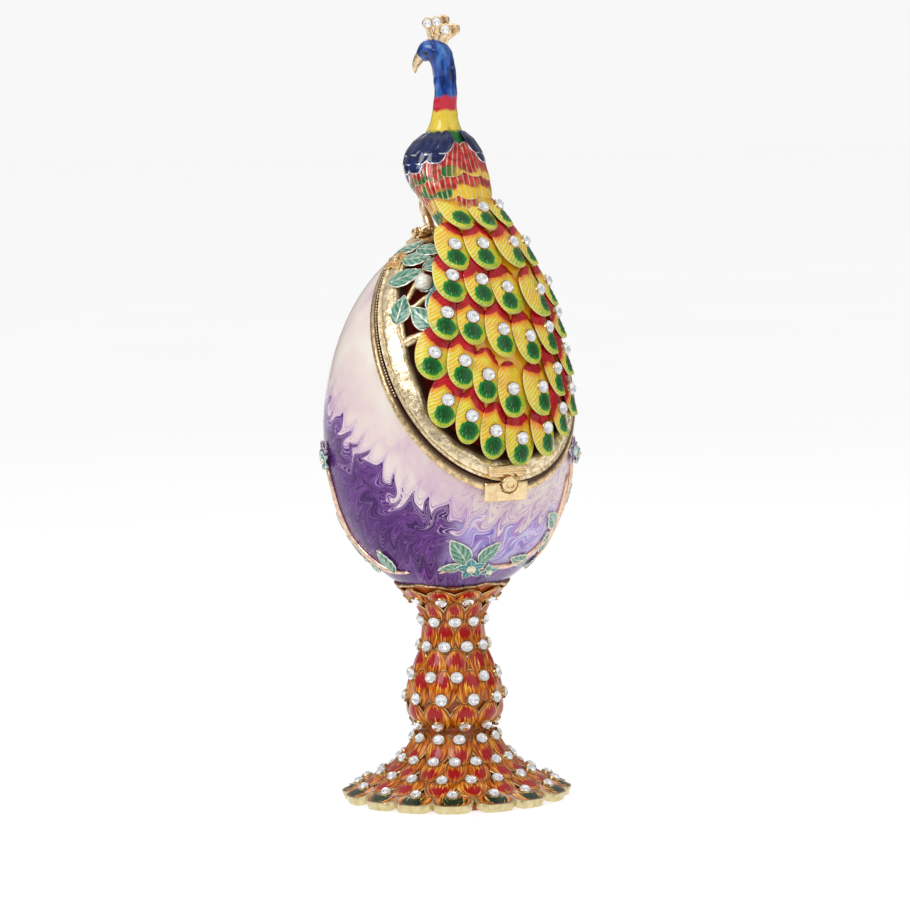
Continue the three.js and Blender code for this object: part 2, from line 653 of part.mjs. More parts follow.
function makeLidFrame(birdRoom) {
  const band = egg(BAND_PROUD).subtract(egg(-BAND_DEPTH)).intersect(bandSlice());
  const deep = -BAND_DEPTH / 2 - 0.2;
  const branches = [
    vine([[0, 0.93], [0, 0.75], [1, 0.5], [1, 0.2], [0, -0.05], [-1, -0.26]], deep, BRANCH_RADIUS, 8, 4),
  ];
  const leaves = [];
  for (const hand of [-1, 1]) {
    branches.push(
      vine([[56, 0.43], [45, 0.51], [34, 0.53], [16, 0.52], [0, 0.5]].map(([a, s]) => [hand * a, s]), deep, BRANCH_RADIUS, 5, 4),
      vine([[44, 0.09], [34, 0.2], [22, 0.26], [10, 0.25], [0, 0.22]].map(([a, s]) => [hand * a, s]), deep, BRANCH_RADIUS, 5, 4),
      vine([[66, 0.62], [58, 0.66], [50, 0.66], [42, 0.71], [28, 0.74], [0, 0.74]].map(([a, s]) => [hand * a, s]), -0.3, 0.8, 6),
      vine([[57, 0.66], [52, 0.78], [46, 0.88], [30, 0.95]].map(([a, s]) => [hand * a, s]), -0.2, 0.8, 4),
      vine([[57, 0.68], [56, 0.58], [52, 0.47]].map(([a, s]) => [hand * a, s]), -0.3, 0.8, 3),
    );
    leaves.push(
      leafOnEgg(hand * 57, 0.64, 0, 2.1, 3.2, 0.5),
      leafOnEgg(hand * 47, 0.62, hand * -40, 2.1, 3.4, 0.5),
      leafOnEgg(hand * 60, 0.79, hand * 60, 1.9, 3.4, 0.7),
      leafOnEgg(hand * 54, 0.88, hand * 80, 1.9, 3.2, 0.9),
      leafOnEgg(hand * 47, 0.76, 0, 2.0, 2.4, 0.8),
      leafOnEgg(hand * 38, 0.72, hand * 20, 1.4, 2.4, 0.5),
      ...flowerOnEgg(hand * 76, 0.86, 4, 2.0, 0.9),
    );
  }
  const posts = [[0, 0.5], [0, 0.22], [0, -0.04]].map(([azimuth, share]) => {
    const from = onEgg(azimuth, share * EGG_RISE, -1);
    const to = onEgg(azimuth, share * EGG_RISE, 5);
    return tube([from, from.clone().lerp(to, 0.5), to], 1.0, 2, 6);
  });
  const beyond = slice(lidStart, far);
  return mainBody(band.add(join([...branches, ...leaves, ...posts]).intersect(beyond))
    .add(makeCatchLip())
    .subtract(catchBoss(CATCH_BOSS_RADIUS + GAP))
    .subtract(birdRoom)
    .subtract(knuckleRoom));
}

// Crystals: flat-backed stones, each a short cone frustum over its plume

function stone() {
  const geometry = new THREE.CylinderGeometry(0.72 * CRYSTAL_RADIUS, CRYSTAL_RADIUS, CRYSTAL_HEIGHT, 6);
  geometry.rotateX(Math.PI / 2);
  geometry.translate(0, 0, CRYSTAL_HEIGHT / 2);
  return geometry;
}

// The group

const group = new THREE.Group();

function addPiece(name, solid, color, roughness, metalness) {
  const material = new THREE.MeshStandardMaterial({ color, roughness, metalness });
  const mesh = new THREE.Mesh(toGeometry(solid), material);
  mesh.name = name;
  group.add(mesh);
}

const birdRoom = makePeacock(GAP);

addPiece('foot', makeFoot(), 0xc8791e, 0.3, 0.6);
addPiece('egg_shell', makeShell(), 0xb79ccb, 0.25, 0.1);
addPiece('hinge_leaf_body', makeBodyLeaf(), 0xd9b25a, 0.35, 1.0);
addPiece('hinge_leaf_lid', makeLidLeaf().subtract(birdRoom), 0xd9b25a, 0.35, 1.0);
addPiece('hinge_pin', makePin(), 0xc9a24a, 0.35, 1.0);
addPiece('catch_plate', makeCatchPlate(), 0xd9b25a, 0.35, 1.0);
addPiece('lid_frame', makeLidFrame(birdRoom), 0xe0c07a, 0.4, 1.0);
addPiece('peacock', mainBody(makePeacock().subtract(knuckleRoom)), 0xe3c02c, 0.25, 0.2);

let count = 0;
tiers.forEach((tier, t) => tier.across.forEach((share, i) => {
  if (bareSpots.includes(`${t}:${i}`)) return;
  count += 1;
  const u = share * TAIL_HALF_WIDTH;
  const crystal = layOnTail(stone(), u, tierHeight(tier, share), 0.15 + GAP, 0);
  const seated = mainBody(toSolid(crystal).subtract(birdRoom));
  addPiece(`tail_crystal_${String(count).padStart(2, '0')}`, seated, 0xf4f7ff, 0.05, 0.0);
}));

crestLobes.forEach((lobe, i) => {
  const outward = lobe.side > 0 ? 1 : -1;
  const crystal = reshape(stone(), (x, y, z) => inCrest(lobe, 0.8 * x, outward * (0.75 + GAP + 0.6 * z), 0.8 * y));
  addPiece(`crest_crystal_${i + 1}`, mainBody(toSolid(crystal).subtract(birdRoom)), 0xf4f7ff, 0.05, 0.0);
});

export default group;
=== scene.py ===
import math

import bpy
import numpy as np
from mathutils import Matrix, Vector


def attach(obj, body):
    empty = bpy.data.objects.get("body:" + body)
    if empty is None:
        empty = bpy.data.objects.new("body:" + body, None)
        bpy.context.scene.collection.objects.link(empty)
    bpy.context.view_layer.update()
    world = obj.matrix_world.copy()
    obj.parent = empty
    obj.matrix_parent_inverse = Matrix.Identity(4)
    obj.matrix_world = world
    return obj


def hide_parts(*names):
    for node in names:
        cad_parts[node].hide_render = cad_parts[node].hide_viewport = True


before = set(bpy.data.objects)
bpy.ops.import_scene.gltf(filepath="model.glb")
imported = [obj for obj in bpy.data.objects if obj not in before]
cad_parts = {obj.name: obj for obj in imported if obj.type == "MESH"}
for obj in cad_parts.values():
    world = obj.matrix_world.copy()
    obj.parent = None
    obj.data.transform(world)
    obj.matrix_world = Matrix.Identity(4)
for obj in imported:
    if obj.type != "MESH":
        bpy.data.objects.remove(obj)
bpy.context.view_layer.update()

# The foot: one cast and gilt baluster under amber enamel, covered with overlapping petals.
# The petals of the stem point up, those of the flare point down and end in thick lobes that
# stand on the table. Each carries a stone at its root.

MM = 0.001
FOOT_OUTLINE = [
    (25.6, 1.1), (24.4, 1.5), (22.3, 2.4), (19.5, 3.6), (16.3, 5.6), (13.3, 7.7), (11.2, 9.9),
    (9.65, 12.4), (8.4, 14.6), (8.0, 16.4), (9.9, 19.1), (10.3, 21.7), (10.0, 25.0), (8.8, 28.9),
    (7.4, 32.8), (6.5, 36.1), (6.3, 38.7), (6.9, 41.8), (8.4, 44.4), (10.6, 46.8), (12.3, 48.3),
]
EGG_RADIUS, EGG_RISE, EGG_DROP = 28.0, 42.1, 38.1
CROWN_FULLNESS, BOWL_FULLNESS = 1.83, 2.2
EGG_CENTRE = 83.4
EGG_TOP = EGG_CENTRE + EGG_RISE


def smooth(points, count):
    """Count points on a smooth curve through the given ones."""
    p = np.asarray(points, float)
    p = np.vstack([2 * p[0] - p[1], p, 2 * p[-1] - p[-2]])
    t = np.linspace(0, len(p) - 3, count)
    i = np.minimum(t.astype(int), len(p) - 4)
    f = (t - i)[:, None]
    a, b, c, d = p[i], p[i + 1], p[i + 2], p[i + 3]
    return 0.5 * (2 * b + (c - a) * f + (2 * a - 5 * b + 4 * c - d) * f**2 + (3 * b - a - 3 * c + d) * f**3)


def circle(count):
    """Angles once round, with the last one left out."""
    return np.linspace(0, 2 * math.pi, count, endpoint=False)


def lumps(points, size, seed):
    """Smooth random heights from -1 to 1, with lumps of the given size in mm."""
    p = np.asarray(points, float) / size + seed * 17.3
    cell = np.floor(p)
    f = p - cell
    f = f * f * (3 - 2 * f)
    total = 0
    for corner in np.ndindex(2, 2, 2):
        at = cell + corner
        value = np.sin(at @ np.array([127.1, 311.7, 74.7])) * 43758.5453
        weight = np.prod(np.where(corner, f, 1 - f), axis=-1)
        total = total + weight * (value - np.floor(value))
    return 2 * total - 1


class Casting:
    """Collects the skins of one cast piece in mm, with what its materials read at each corner."""

    def __init__(self):
        self.points, self.quads, self.tris = [], [], []
        self.quad_finish, self.tri_finish = [], []
        self.place, self.edge = [], []
        self.count = 0

    def skin(self, points, place=(0, 0, 0), edge=9.0, finish=0, around=False, poles=(False, False)):
        """A grid of rows and columns. Around joins the last column to the first."""
        rows, columns, _ = points.shape
        index = np.arange(rows * columns).reshape(rows, columns)
        if poles[0]:
            index[0] = index[0, 0]
        if poles[1]:
            index[-1] = index[-1, 0]
        if around:
            index = np.hstack([index, index[:, :1]])
        a, b, c, d = index[:-1, :-1], index[:-1, 1:], index[1:, 1:], index[1:, :-1]
        quads = np.stack([a, b, c, d], -1).reshape(-1, 4)
        flat = points.reshape(-1, 3)
        p = flat[quads]
        if np.einsum("ij,ij->i", p[:, 0], np.cross(p[:, 1], p[:, 2])).sum() \
                + np.einsum("ij,ij->i", p[:, 0], np.cross(p[:, 2], p[:, 3])).sum() < 0:
            quads = quads[:, ::-1]
        start = quads[:, 0] == quads[:, 1]
        end = quads[:, 2] == quads[:, 3]
        tris = np.vstack([quads[start][:, [0, 2, 3]], quads[end][:, [0, 1, 2]]])
        quads = quads[~(start | end)]
        self.points.append(flat)
        self.quads.append(quads + self.count)
        self.tris.append(tris + self.count)
        self.quad_finish.append(np.full(len(quads), finish))
        self.tri_finish.append(np.full(len(tris), finish))
        self.place.append(np.broadcast_to(np.asarray(place, float), points.shape).reshape(-1, 3))
        self.edge.append(np.broadcast_to(edge, points.shape[:2]).reshape(-1))
        self.count += rows * columns

    def closed(self, points, place=(0, 0, 0), edge=9.0, finish=0):
        """A skin that closes on itself, with a pole at each end."""
        self.skin(points, place, edge, finish, around=True, poles=(True, True))

    def build(self, name, finishes, body, slot, *nodes, sharp=55):
        points = np.vstack(self.points)
        quads, tris = np.vstack(self.quads), np.vstack(self.tris)
        used, corner = np.unique(np.concatenate([quads.ravel(), tris.ravel()]), return_inverse=True)
        mesh = bpy.data.meshes.new(name)
        mesh.vertices.add(len(used))
        mesh.vertices.foreach_set("co", (points[used] * MM).astype(np.float32).ravel())
        mesh.loops.add(len(corner))
        mesh.loops.foreach_set("vertex_index", corner.astype(np.int32))
        mesh.polygons.add(len(quads) + len(tris))
        starts = np.concatenate([np.arange(len(quads)) * 4, len(quads) * 4 + np.arange(len(tris)) * 3])
        mesh.polygons.foreach_set("loop_start", starts.astype(np.int32))
        finish = np.concatenate(self.quad_finish + self.tri_finish)
        mesh.polygons.foreach_set("material_index", finish.astype(np.int32))
        mesh.update(calc_edges=True)
        mesh.validate()
        place = mesh.attributes.new("place", "FLOAT_VECTOR", "POINT")
        place.data.foreach_set("vector", np.vstack(self.place)[used].astype(np.float32).ravel())
        edge = mesh.attributes.new("edge", "FLOAT", "POINT")
        edge.data.foreach_set("value", np.concatenate(self.edge)[used].astype(np.float32))
        mesh.polygons.foreach_set("use_smooth", np.full(len(mesh.polygons), sharp > 0))
        if sharp > 0:
            mesh.set_sharp_from_angle(angle=math.radians(sharp))
        for material in finishes:
            mesh.materials.append(material)
        piece = bpy.data.objects.new(name, mesh)
        bpy.context.scene.collection.objects.link(piece)
        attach(piece, body)
        if nodes:
            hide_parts(*nodes)
        return piece


class Bench:
    """Lays out the nodes of one material or group."""

    def __init__(self, tree):
        self.tree = tree

    def node(self, kind, inputs=(), **settings):
        made = self.tree.nodes.new(kind)
        for key, value in settings.items():
            setattr(made, key, value)
        for key, value in dict(inputs).items():
            if isinstance(value, bpy.types.NodeSocket):
                self.tree.links.new(value, made.inputs[key])
            else:
                made.inputs[key].default_value = value
        return made

    def math(self, operation, a, b=0.0, c=0.0, clamp=False):
        made = self.node("ShaderNodeMath", {0: a, 1: b, 2: c}, operation=operation, use_clamp=clamp)
        return made.outputs[0]

    def times(self, a, b):
        return self.math("MULTIPLY", a, b)

    def plus(self, a, b):
        return self.math("ADD", a, b)

    def minus(self, a, b):
        return self.math("SUBTRACT", a, b)

    def absolute(self, value):
        return self.math("ABSOLUTE", value)

    def swing(self, value, reach):
        """A value from 0 to 1, such as noise, as a swing about zero."""
        return self.times(self.minus(value, 0.5), reach)

    def oval(self, x, y):
        """1 on an oval's border, less inside, where x and y are shares of its half axes."""
        return self.plus(*[self.math("POWER", self.absolute(side), 2.0) for side in (x, y)])

    def contours(self, value, levels, thin, wide):
        """Lines along which a value stays the same, from a sharp middle to a soft side."""
        gap = self.absolute(self.minus(self.math("FRACT", self.times(value, levels)), 0.5))
        return self.step(gap, thin, wide, 1.0, 0.0)

    def mix(self, share, a, b):
        a, b = [c if isinstance(c, bpy.types.NodeSocket) else (*c, 1) for c in (a, b)]
        return self.node("ShaderNodeMix", {0: share, 6: a, 7: b}, data_type="RGBA").outputs[2]

    def step(self, value, low, high, start=0.0, end=1.0):
        """Goes smoothly from start to end while the value goes from low to high."""
        inputs = {"Value": value, "From Min": low, "From Max": high, "To Min": start, "To Max": end}
        return self.node("ShaderNodeMapRange", inputs, interpolation_type="SMOOTHSTEP").outputs[0]

    def ramp(self, value, *stops):
        made = self.node("ShaderNodeValToRGB", {0: value})
        band = made.color_ramp
        while len(band.elements) < len(stops):
            band.elements.new(0.5)
        for element, (at, colour) in zip(band.elements, stops):
            element.position = at
            element.color = (*colour, 1)
        return made.outputs[0]

    def corner(self):
        """The three values that a casting keeps at its corners."""
        kept = self.node("ShaderNodeAttribute", attribute_name="place")
        return self.parts(kept.outputs["Vector"])[:]

    def edge(self):
        """The distance in mm from the border of a scale, or a mask from 0 to 1."""
        return self.node("ShaderNodeAttribute", attribute_name="edge").outputs["Fac"]

    def parts(self, vector):
        return self.node("ShaderNodeSeparateXYZ", {0: vector}).outputs

    def vector(self, x, y, z=0.0):
        return self.node("ShaderNodeCombineXYZ", {0: x, 1: y, 2: z}).outputs[0]

    def noise(self, vector, scale, detail=2.0, distortion=0.0, roughness=0.5):
        inputs = {"Vector": vector, "Scale": scale, "Detail": detail,
                  "Distortion": distortion, "Roughness": roughness}
        return self.node("ShaderNodeTexNoise", inputs).outputs[0]

    def wave(self, value, period):
        """A smooth ripple from 0 to 1 along a value."""
        turn = self.times(value, 2 * math.pi / period)
        return self.math("MULTIPLY_ADD", self.math("SINE", turn), 0.5, 0.5)

    def place(self):
        """The object's own coordinates in mm."""
        at = self.node("ShaderNodeTexCoord").outputs["Object"]
        return self.node("ShaderNodeVectorMath", {0: at, 3: 1000.0}, operation="SCALE").outputs[0]


def new_material(name, **values):
    """A material whose plain values sit on the shader itself. Returns it, its bench and its shader."""
    material = bpy.data.materials.new(name)
    material.use_nodes = True
    shader = material.node_tree.nodes["Principled BSDF"]
    for key, value in values.items():
        shader.inputs[key.replace("_", " ")].default_value = value
    return material, Bench(material.node_tree), shader


def new_group(name, inputs, outputs):
    """A node group with named inputs (name, kind, value) and outputs (name, kind)."""
    group = bpy.data.node_groups.new(name, "ShaderNodeTree")
    for label, kind, value in inputs:
        socket = group.interface.new_socket(label, in_out="INPUT", socket_type="NodeSocket" + kind)
        socket.default_value = value
    for label, kind in outputs:
        group.interface.new_socket(label, in_out="OUTPUT", socket_type="NodeSocket" + kind)
    bench = Bench(group)
    return group, bench, bench.node("NodeGroupInput").outputs, bench.node("NodeGroupOutput").inputs


def use_group(bench, group, **inputs):
    made = bench.node("ShaderNodeGroup", node_tree=group)
    for key, value in inputs.items():
        socket = made.inputs[key.replace("_", " ")]
        if isinstance(value, bpy.types.NodeSocket):
            bench.tree.links.new(value, socket)
        else:
            socket.default_value = value
    return made.outputs


def wire(bench, shader, colour=None, roughness=None, metallic=None, height=None, depth=0.1, strength=1.0):
    """Feeds the shader. Height is in shares of depth, which is in mm."""
    for key, value in (("Base Color", colour), ("Roughness", roughness), ("Metallic", metallic)):
        if value is not None:
            bench.tree.links.new(value, shader.inputs[key])
    if height is not None:
        bump = bench.node("ShaderNodeBump", {"Height": height, "Distance": depth * MM, "Strength": strength})
        bench.tree.links.new(bump.outputs[0], shader.inputs["Normal"])


# Gilding: pale gold that pools darker in pits and rubs bright on the high spots.
gilt_group, b, given, out = new_group(
    "gilding",
    [("Place", "Vector", (0, 0, 0)), ("Light", "Color", (0.93, 0.75, 0.45, 1)),
     ("Dark", "Color", (0.33, 0.17, 0.06, 1)), ("Pit Size", "Float", 0.8), ("Wear", "Float", 0.5)],
    [("Color", "Color"), ("Roughness", "Float"), ("Height", "Float")],
)
pit_scale = b.math("DIVIDE", 1.0, given["Pit Size"])
broad = b.noise(given["Place"], pit_scale, 3.0, 0.4)
fine = b.noise(given["Place"], b.times(pit_scale, 4.0), 2.0)
pits = b.step(b.math("MULTIPLY_ADD", fine, 0.35, broad), 0.5, 0.78)
tone = b.times(b.minus(1.0, pits), given["Wear"])
b.tree.links.new(b.mix(tone, given["Light"], given["Dark"]), out["Color"])
b.tree.links.new(b.math("MULTIPLY_ADD", fine, 0.30, 0.16), out["Roughness"])
b.tree.links.new(b.plus(broad, b.times(fine, 0.3)), out["Height"])


def gilt(name, light=(0.93, 0.75, 0.45), dark=(0.33, 0.17, 0.06), pit=0.8, wear=0.5, depth=0.12):
    material, bench, shader = new_material(name, Metallic=1.0)
    given = use_group(bench, gilt_group, Place=bench.place(), Light=(*light, 1), Dark=(*dark, 1),
                      Pit_Size=pit, Wear=wear)
    wire(bench, shader, given["Color"], given["Roughness"], height=given["Height"], depth=depth)
    return material


outline = smooth(FOOT_OUTLINE, 600)
outline_run = np.concatenate([[0], np.cumsum(np.hypot(*np.diff(outline, axis=0).T))])
outline_way = np.gradient(outline, outline_run, axis=0)


def on_foot(angle, run, offset):
    """A point on the foot: angle in radians from -Y towards +X, run in mm along its outline."""
    radius, height = [np.interp(run, outline_run, outline[:, k]) for k in (0, 1)]
    along_r, along_z = [np.interp(run, outline_run, outline_way[:, k]) for k in (0, 1)]
    radius = radius + offset * along_z
    height = height - offset * along_r
    return np.stack(np.broadcast_arrays(radius * np.sin(angle), -radius * np.cos(angle), height), -1)


def run_at(height):
    return float(np.interp(height, outline[:, 1], outline_run))


def foot_radius(run):
    return np.interp(run, outline_run, outline[:, 0])


def egg_radius(height, offset=0.0):
    half = np.where(height > 0, EGG_RISE, EGG_DROP) + offset
    fullness = np.where(height > 0, CROWN_FULLNESS, BOWL_FULLNESS)
    return (EGG_RADIUS + offset) * np.sqrt(np.maximum(0, 1 - np.abs(height / half) ** fullness))


def on_egg(angle, height, offset):
    """A point on the egg: angle from -Y towards +X, height over its centre, offset outwards."""
    half = np.where(height > 0, EGG_RISE, EGG_DROP)
    fullness = np.where(height > 0, CROWN_FULLNESS, BOWL_FULLNESS)
    radius = egg_radius(height)
    up = np.sign(height) * fullness * np.abs(height / half) ** (fullness - 1) / half
    out = 2 * radius / EGG_RADIUS**2
    size = np.hypot(up, out)
    reach = radius + offset * out / size
    point = (reach * np.sin(angle), -reach * np.cos(angle), EGG_CENTRE + height + offset * up / size)
    return np.stack(np.broadcast_arrays(*point), -1)


def scale_form(half, length, thick, rows, columns, shape, relief, seed=0.0, below=(1 / 3, -1 / 3)):
    """A closed scale. Returns its x across, y from root to tip, z up, and what its material reads.
    Shape gives the width as a share, relief the height in mm, of where a point is. Below lists the
    shares of the width where its underside has corners."""
    along = (1 - np.cos(np.linspace(0, math.pi, rows))) / 2
    along = 0.5 * along + 0.5 * np.linspace(0, 1, rows)
    across = np.sin(np.linspace(-math.pi / 2, math.pi / 2, columns))
    u = np.concatenate([across, below])[None, :] * np.ones((rows, 1))
    t = along[:, None] * np.ones_like(u)
    width = half * shape(t)
    x, y = u * width, t * length
    upper = np.arange(u.shape[1]) < columns
    z = np.where(upper, relief(u, t), -thick)
    edge = np.minimum((1 - np.abs(u)) * width, (1 - t) * length)
    place = np.stack([u, t, np.full_like(u, seed)], -1)
    return x, y, z, place, np.where(upper, edge, 0.0)


def pointed(t):
    """A petal's width from root to tip: broad below, pointed above."""
    return np.clip(1 - np.abs(2 * t**0.92 - 1) ** 1.9, 0, 1) ** 0.6


def lobed(t):
    """A lobe's width: nearly even, with a round end."""
    return np.clip(1 - np.abs(2 * t - 1) ** 2.4, 0, 1) ** 0.5 * (0.86 + 0.14 * t)


def foot_petal_relief(u, t):
    crown = 0.72 * (1 - u**2) * np.sin(math.pi * np.clip(t, 0, 1) ** 0.8)
    rib = 0.12 * np.exp(-((np.abs(u) - 0.92) / 0.07) ** 2)
    flutes = 0.07 * np.cos(13 * u) * (1 - t) * (1 - u**2)
    return crown + rib + flutes + 0.75 * t


# Rows of petals from the table up: how many, where one stands in degrees, the height of its stone,
# 1 where they point up or -1 down, length, width over their spacing, and 1 for green ends
PETAL_ROWS = [
    (16, -31.0, 2.7, -1, 6.9, 1.16, 1), (16, -19.7, 5.5, -1, 8.0, 1.12, 0), (16, -31.0, 9.0, -1, 8.2, 1.2, 0),
    (12, -24.0, 13.8, -1, 8.8, 1.2, 0), (10, -18.0, 17.3, 1, 7.6, 1.2, 0), (10, -8.0, 22.9, 1, 8.8, 1.24, 0),
    (10, -26.0, 27.6, 1, 8.8, 1.24, 0), (10, -9.0, 34.2, 1, 8.4, 1.26, 0), (10, -27.0, 40.2, 1, 7.4, 1.22, 0),
    (10, -9.5, 45.4, 1, 5.9, 1.16, 0),
]
LIP_RADIUS, LIP_HEIGHT, LIP_THICK, LIP_TALL = 12.5, 48.75, 0.6, 0.42
CUP_GAP = 0.25

foot = Casting()
foot_stones = []
round_foot = circle(144)
runs = np.linspace(run_at(2.6), outline_run[-1], 90)
core = on_foot(round_foot[None, :], runs[:, None], -0.35 + 0.08 * np.sin(9 * round_foot)[None, :])
cup_heights = np.linspace(-EGG_DROP + 0.01, -EGG_DROP * 0.957, 12)[::-1]
cup = on_egg(round_foot[None, :], cup_heights[:, None], CUP_GAP)
cup[-1] = (0, 0, EGG_CENTRE - EGG_DROP - CUP_GAP)
cup_edge = np.array([(12.4, 48.4), (12.7, 48.7), (12.3, 48.9)])
underside = np.array([(0.0, 0.0), (19.0, 0.0), (21.2, 0.0), (21.6, 0.4), (21.7, 1.4)])


def turned(profile, offset=0.0):
    """A profile of (radius, height) turned round the foot's axis."""
    radius, height = profile[:, :1] + offset, profile[:, 1:]
    return np.stack([radius * np.sin(round_foot), -radius * np.cos(round_foot), height + 0 * round_foot], -1)


edge_wave = 0.1 * lumps(turned(cup_edge), 1.6, 3)
whole = np.concatenate([turned(underside), core, turned(cup_edge, edge_wave), cup])
lip_wave = 0.45 * np.cos(5 * (round_foot - math.radians(6))) ** 3 \
    + 0.15 * lumps(turned(cup_edge[:1])[0], 2.4, 3)
round_lip = np.linspace(0, 2 * math.pi, 11)
lip_profile = np.stack([LIP_RADIUS + LIP_THICK * np.cos(round_lip),
                        LIP_HEIGHT + LIP_TALL * np.sin(round_lip)], -1)
cup_lip = turned(lip_profile, 0.6 * lip_wave)
cup_lip[..., 2] += lip_wave
foot.skin(cup_lip, edge=0.0, finish=3, around=True)
foot.closed(whole, (0.0, 0.3, 0.5), 5.0)
for row, (count, start, height, way, length, wide, end) in enumerate(PETAL_ROWS):
    lobe = row == 0
    shape, thick, below = (lobed, 1.3, (0.96, 0.5, -0.5, -0.96)) if lobe else (pointed, 0.6, (1 / 3, -1 / 3))
    root = run_at(height) - way * (2.4 if lobe else 1.9)
    half = wide * math.pi * foot_radius(root + way * 0.45 * length) / count
    for i in range(count):
        seed = (row * 3.7 + i * 1.618) % 1
        angle = math.radians(start + 360 * i / count + 3 * (seed - 0.5))
        x, y, z, place, edge = scale_form(half, length, thick, 26, 19, shape, foot_petal_relief, seed, below)
        z = np.where(z < -0.4, z, z - (0.1 if lobe else 0.25))
        run = root + way * y
        points = on_foot(angle + x / np.maximum(foot_radius(run), 4), run, z)
        points[..., 2] = np.maximum(points[..., 2], 0.02)
        foot.closed(points, place, edge, 1 + end)
        foot_stones.append((angle, root + way * (2.5 if lobe else 2.1), 0.95 if lobe else 0.8))

# A collar for one stone, and the stone in it
STONE_RADIUS, STONE_RISE = 1.25, 0.95


def ring_skin(casting, at, radius, tall, wide, finish):
    """A raised collar. At maps the stone's own x, y and z to the piece."""
    turn = circle(20)
    profile = [(radius, -0.5), (radius, tall), (radius + 0.5 * wide, tall + 0.06),
               (radius + wide, tall - 0.05), (radius + 1.3 * wide, -0.5), (radius, -0.5)]
    rows = [at(r * np.cos(turn), r * np.sin(turn), np.full_like(turn, z)) for r, z in profile]
    casting.skin(np.stack(rows), edge=0.0, finish=finish, around=True)


def stone_skin(casting, at, radius, rise, turn=0.0):
    """A faceted stone, clear above its girdle and foiled below."""
    def ring(r, z, shift):
        a = circle(12) + turn + shift * math.pi / 12
        return at(r * np.cos(a), r * np.sin(a), np.full_like(a, z))

    table = [ring(0.0, rise, 0), ring(0.56 * radius, rise, 0)]
    crown = [ring(0.8 * radius, 0.72 * rise, 1), ring(radius, 0.46 * rise, 0), ring(radius, 0.36 * rise, 0)]
    casting.skin(np.stack(table + crown), finish=0, around=True, poles=(True, False))
    back = [ring(radius, 0.36 * rise, 0), ring(0.5 * radius, 0.14 * rise, 1), ring(0.0, 0.02, 0)]
    casting.skin(np.stack(back), finish=1, around=True, poles=(False, True))


stones = Casting()
for angle, run, seat_height in foot_stones:
    def at(x, y, z, angle=angle, run=run, seat_height=seat_height):
        radius = max(float(foot_radius(run)), 4)
        return on_foot(angle + x / radius, run + y, seat_height + z)

    ring_skin(foot, at, STONE_RADIUS, 0.3, 0.16, 3)
    stone_skin(stones, at, STONE_RADIUS * 0.98, STONE_RISE, turn=run)


def foot_enamel(name, end_colour, end_deep, rim_gold=(1.0, 0.78, 0.40), rim_width=0.30, rim_wear=0.75,
                reach=0.20):
    """Amber enamel over fluted gold, with a coloured oval near the petal's tip, a gilt edge, and painted
    shade just inside that edge, where the petals meet.
    """
    material, b, shader = new_material(name, Specular_IOR_Level=0.2, Coat_Weight=0.3, Coat_Roughness=0.06)
    across, along, seed = b.corner()
    edge = b.edge()
    flutes = b.noise(b.vector(b.times(across, 7.5), b.times(along, 1.9), b.times(seed, 40)), 1.4, 3.0, 0.6)
    amber = b.ramp(flutes, (0.34, (0.12, 0.012, 0.001)), (0.45, (0.42, 0.075, 0.002)),
                   (0.56, (0.72, 0.20, 0.004)), (0.68, (1.0, 0.62, 0.12)))
    oval = b.oval(b.math("DIVIDE", across, 0.60), b.math("DIVIDE", b.minus(along, 0.70), reach))
    inside = b.step(b.plus(oval, b.swing(flutes, 4.0)), 0.75, 1.15, 1.0, 0.0)
    colour = b.mix(inside, amber, b.mix(flutes, end_deep, end_colour))
    shade = b.noise(b.place(), 0.9, 2.0)
    # Painted shade: the enamel darkens just inside the gilt edge, where one petal meets the next.
    painted_border_shade = b.step(edge, rim_width + 0.04, rim_width + 0.40, 0.65, 0.0)
    colour = b.mix(painted_border_shade, colour, (0.09, 0.010, 0.001))
    lip = b.times(b.step(edge, 0.08, rim_width, 1.0, 0.0), b.step(shade, 0.3, 0.55, rim_wear, 1.0))
    colour = b.mix(lip, colour, b.mix(shade, (0.55, 0.36, 0.12), rim_gold))
    wire(b, shader, colour, b.step(lip, 0.0, 1.0, 0.16, 0.28), lip, flutes, 0.12, 0.8)
    return material


amber_core = foot_enamel("amber_enamel_core", (0.85, 0.36, 0.03), (0.5, 0.12, 0.01))
amber_red = foot_enamel("amber_enamel_red_tips", (0.55, 0.012, 0.012), (0.26, 0.0, 0.004))
amber_green = foot_enamel("amber_enamel_green_tips", (0.012, 0.05, 0.012), (0.002, 0.008, 0.002),
                          (0.84, 0.80, 0.50), 0.75, 1.0, 0.42)
# The collars are gilt, made dark brown: painted shade standing for the shadow gap round each stone.
collar_gilt_and_gap_shade = gilt("gilt_collars_painted_gap_shade", (0.74, 0.52, 0.25), (0.12, 0.055, 0.02), 0.6, 0.8, 0.05)
foot.build("foot_casting", [amber_core, amber_red, amber_green, collar_gilt_and_gap_shade], "box", "foot_enamel", "foot")

crystal, b, shader = new_material("clear_crystal", Transmission_Weight=1.0, IOR=1.5)
wire(b, shader, roughness=b.step(b.noise(b.place(), 3.0), 0.3, 0.8, 0.0, 0.03))
# Painted light: the foil glows faintly in its own colour, so the stones read bright though the foil is no
# lamp.
glowing_foil, b, shader = new_material("silver_foil_glowing", Metallic=0.75, Emission_Strength=0.22)
bright = b.mix(b.noise(b.place(), 2.0), (0.88, 0.88, 0.92), (1.0, 0.99, 0.97))
wire(b, shader, bright, b.step(b.noise(b.place(), 5.0), 0.3, 0.8, 0.12, 0.28))
b.tree.links.new(bright, shader.inputs["Emission Color"])
stones.build("foot_stones", [crystal, glowing_foil], "box", "crystal", sharp=0)

# The egg body: a hollow casting cut by the slanting seam, lined dark red, with marbled enamel
# outside, from pearly pink down to combed purple. A gilt rim runs along its seam.

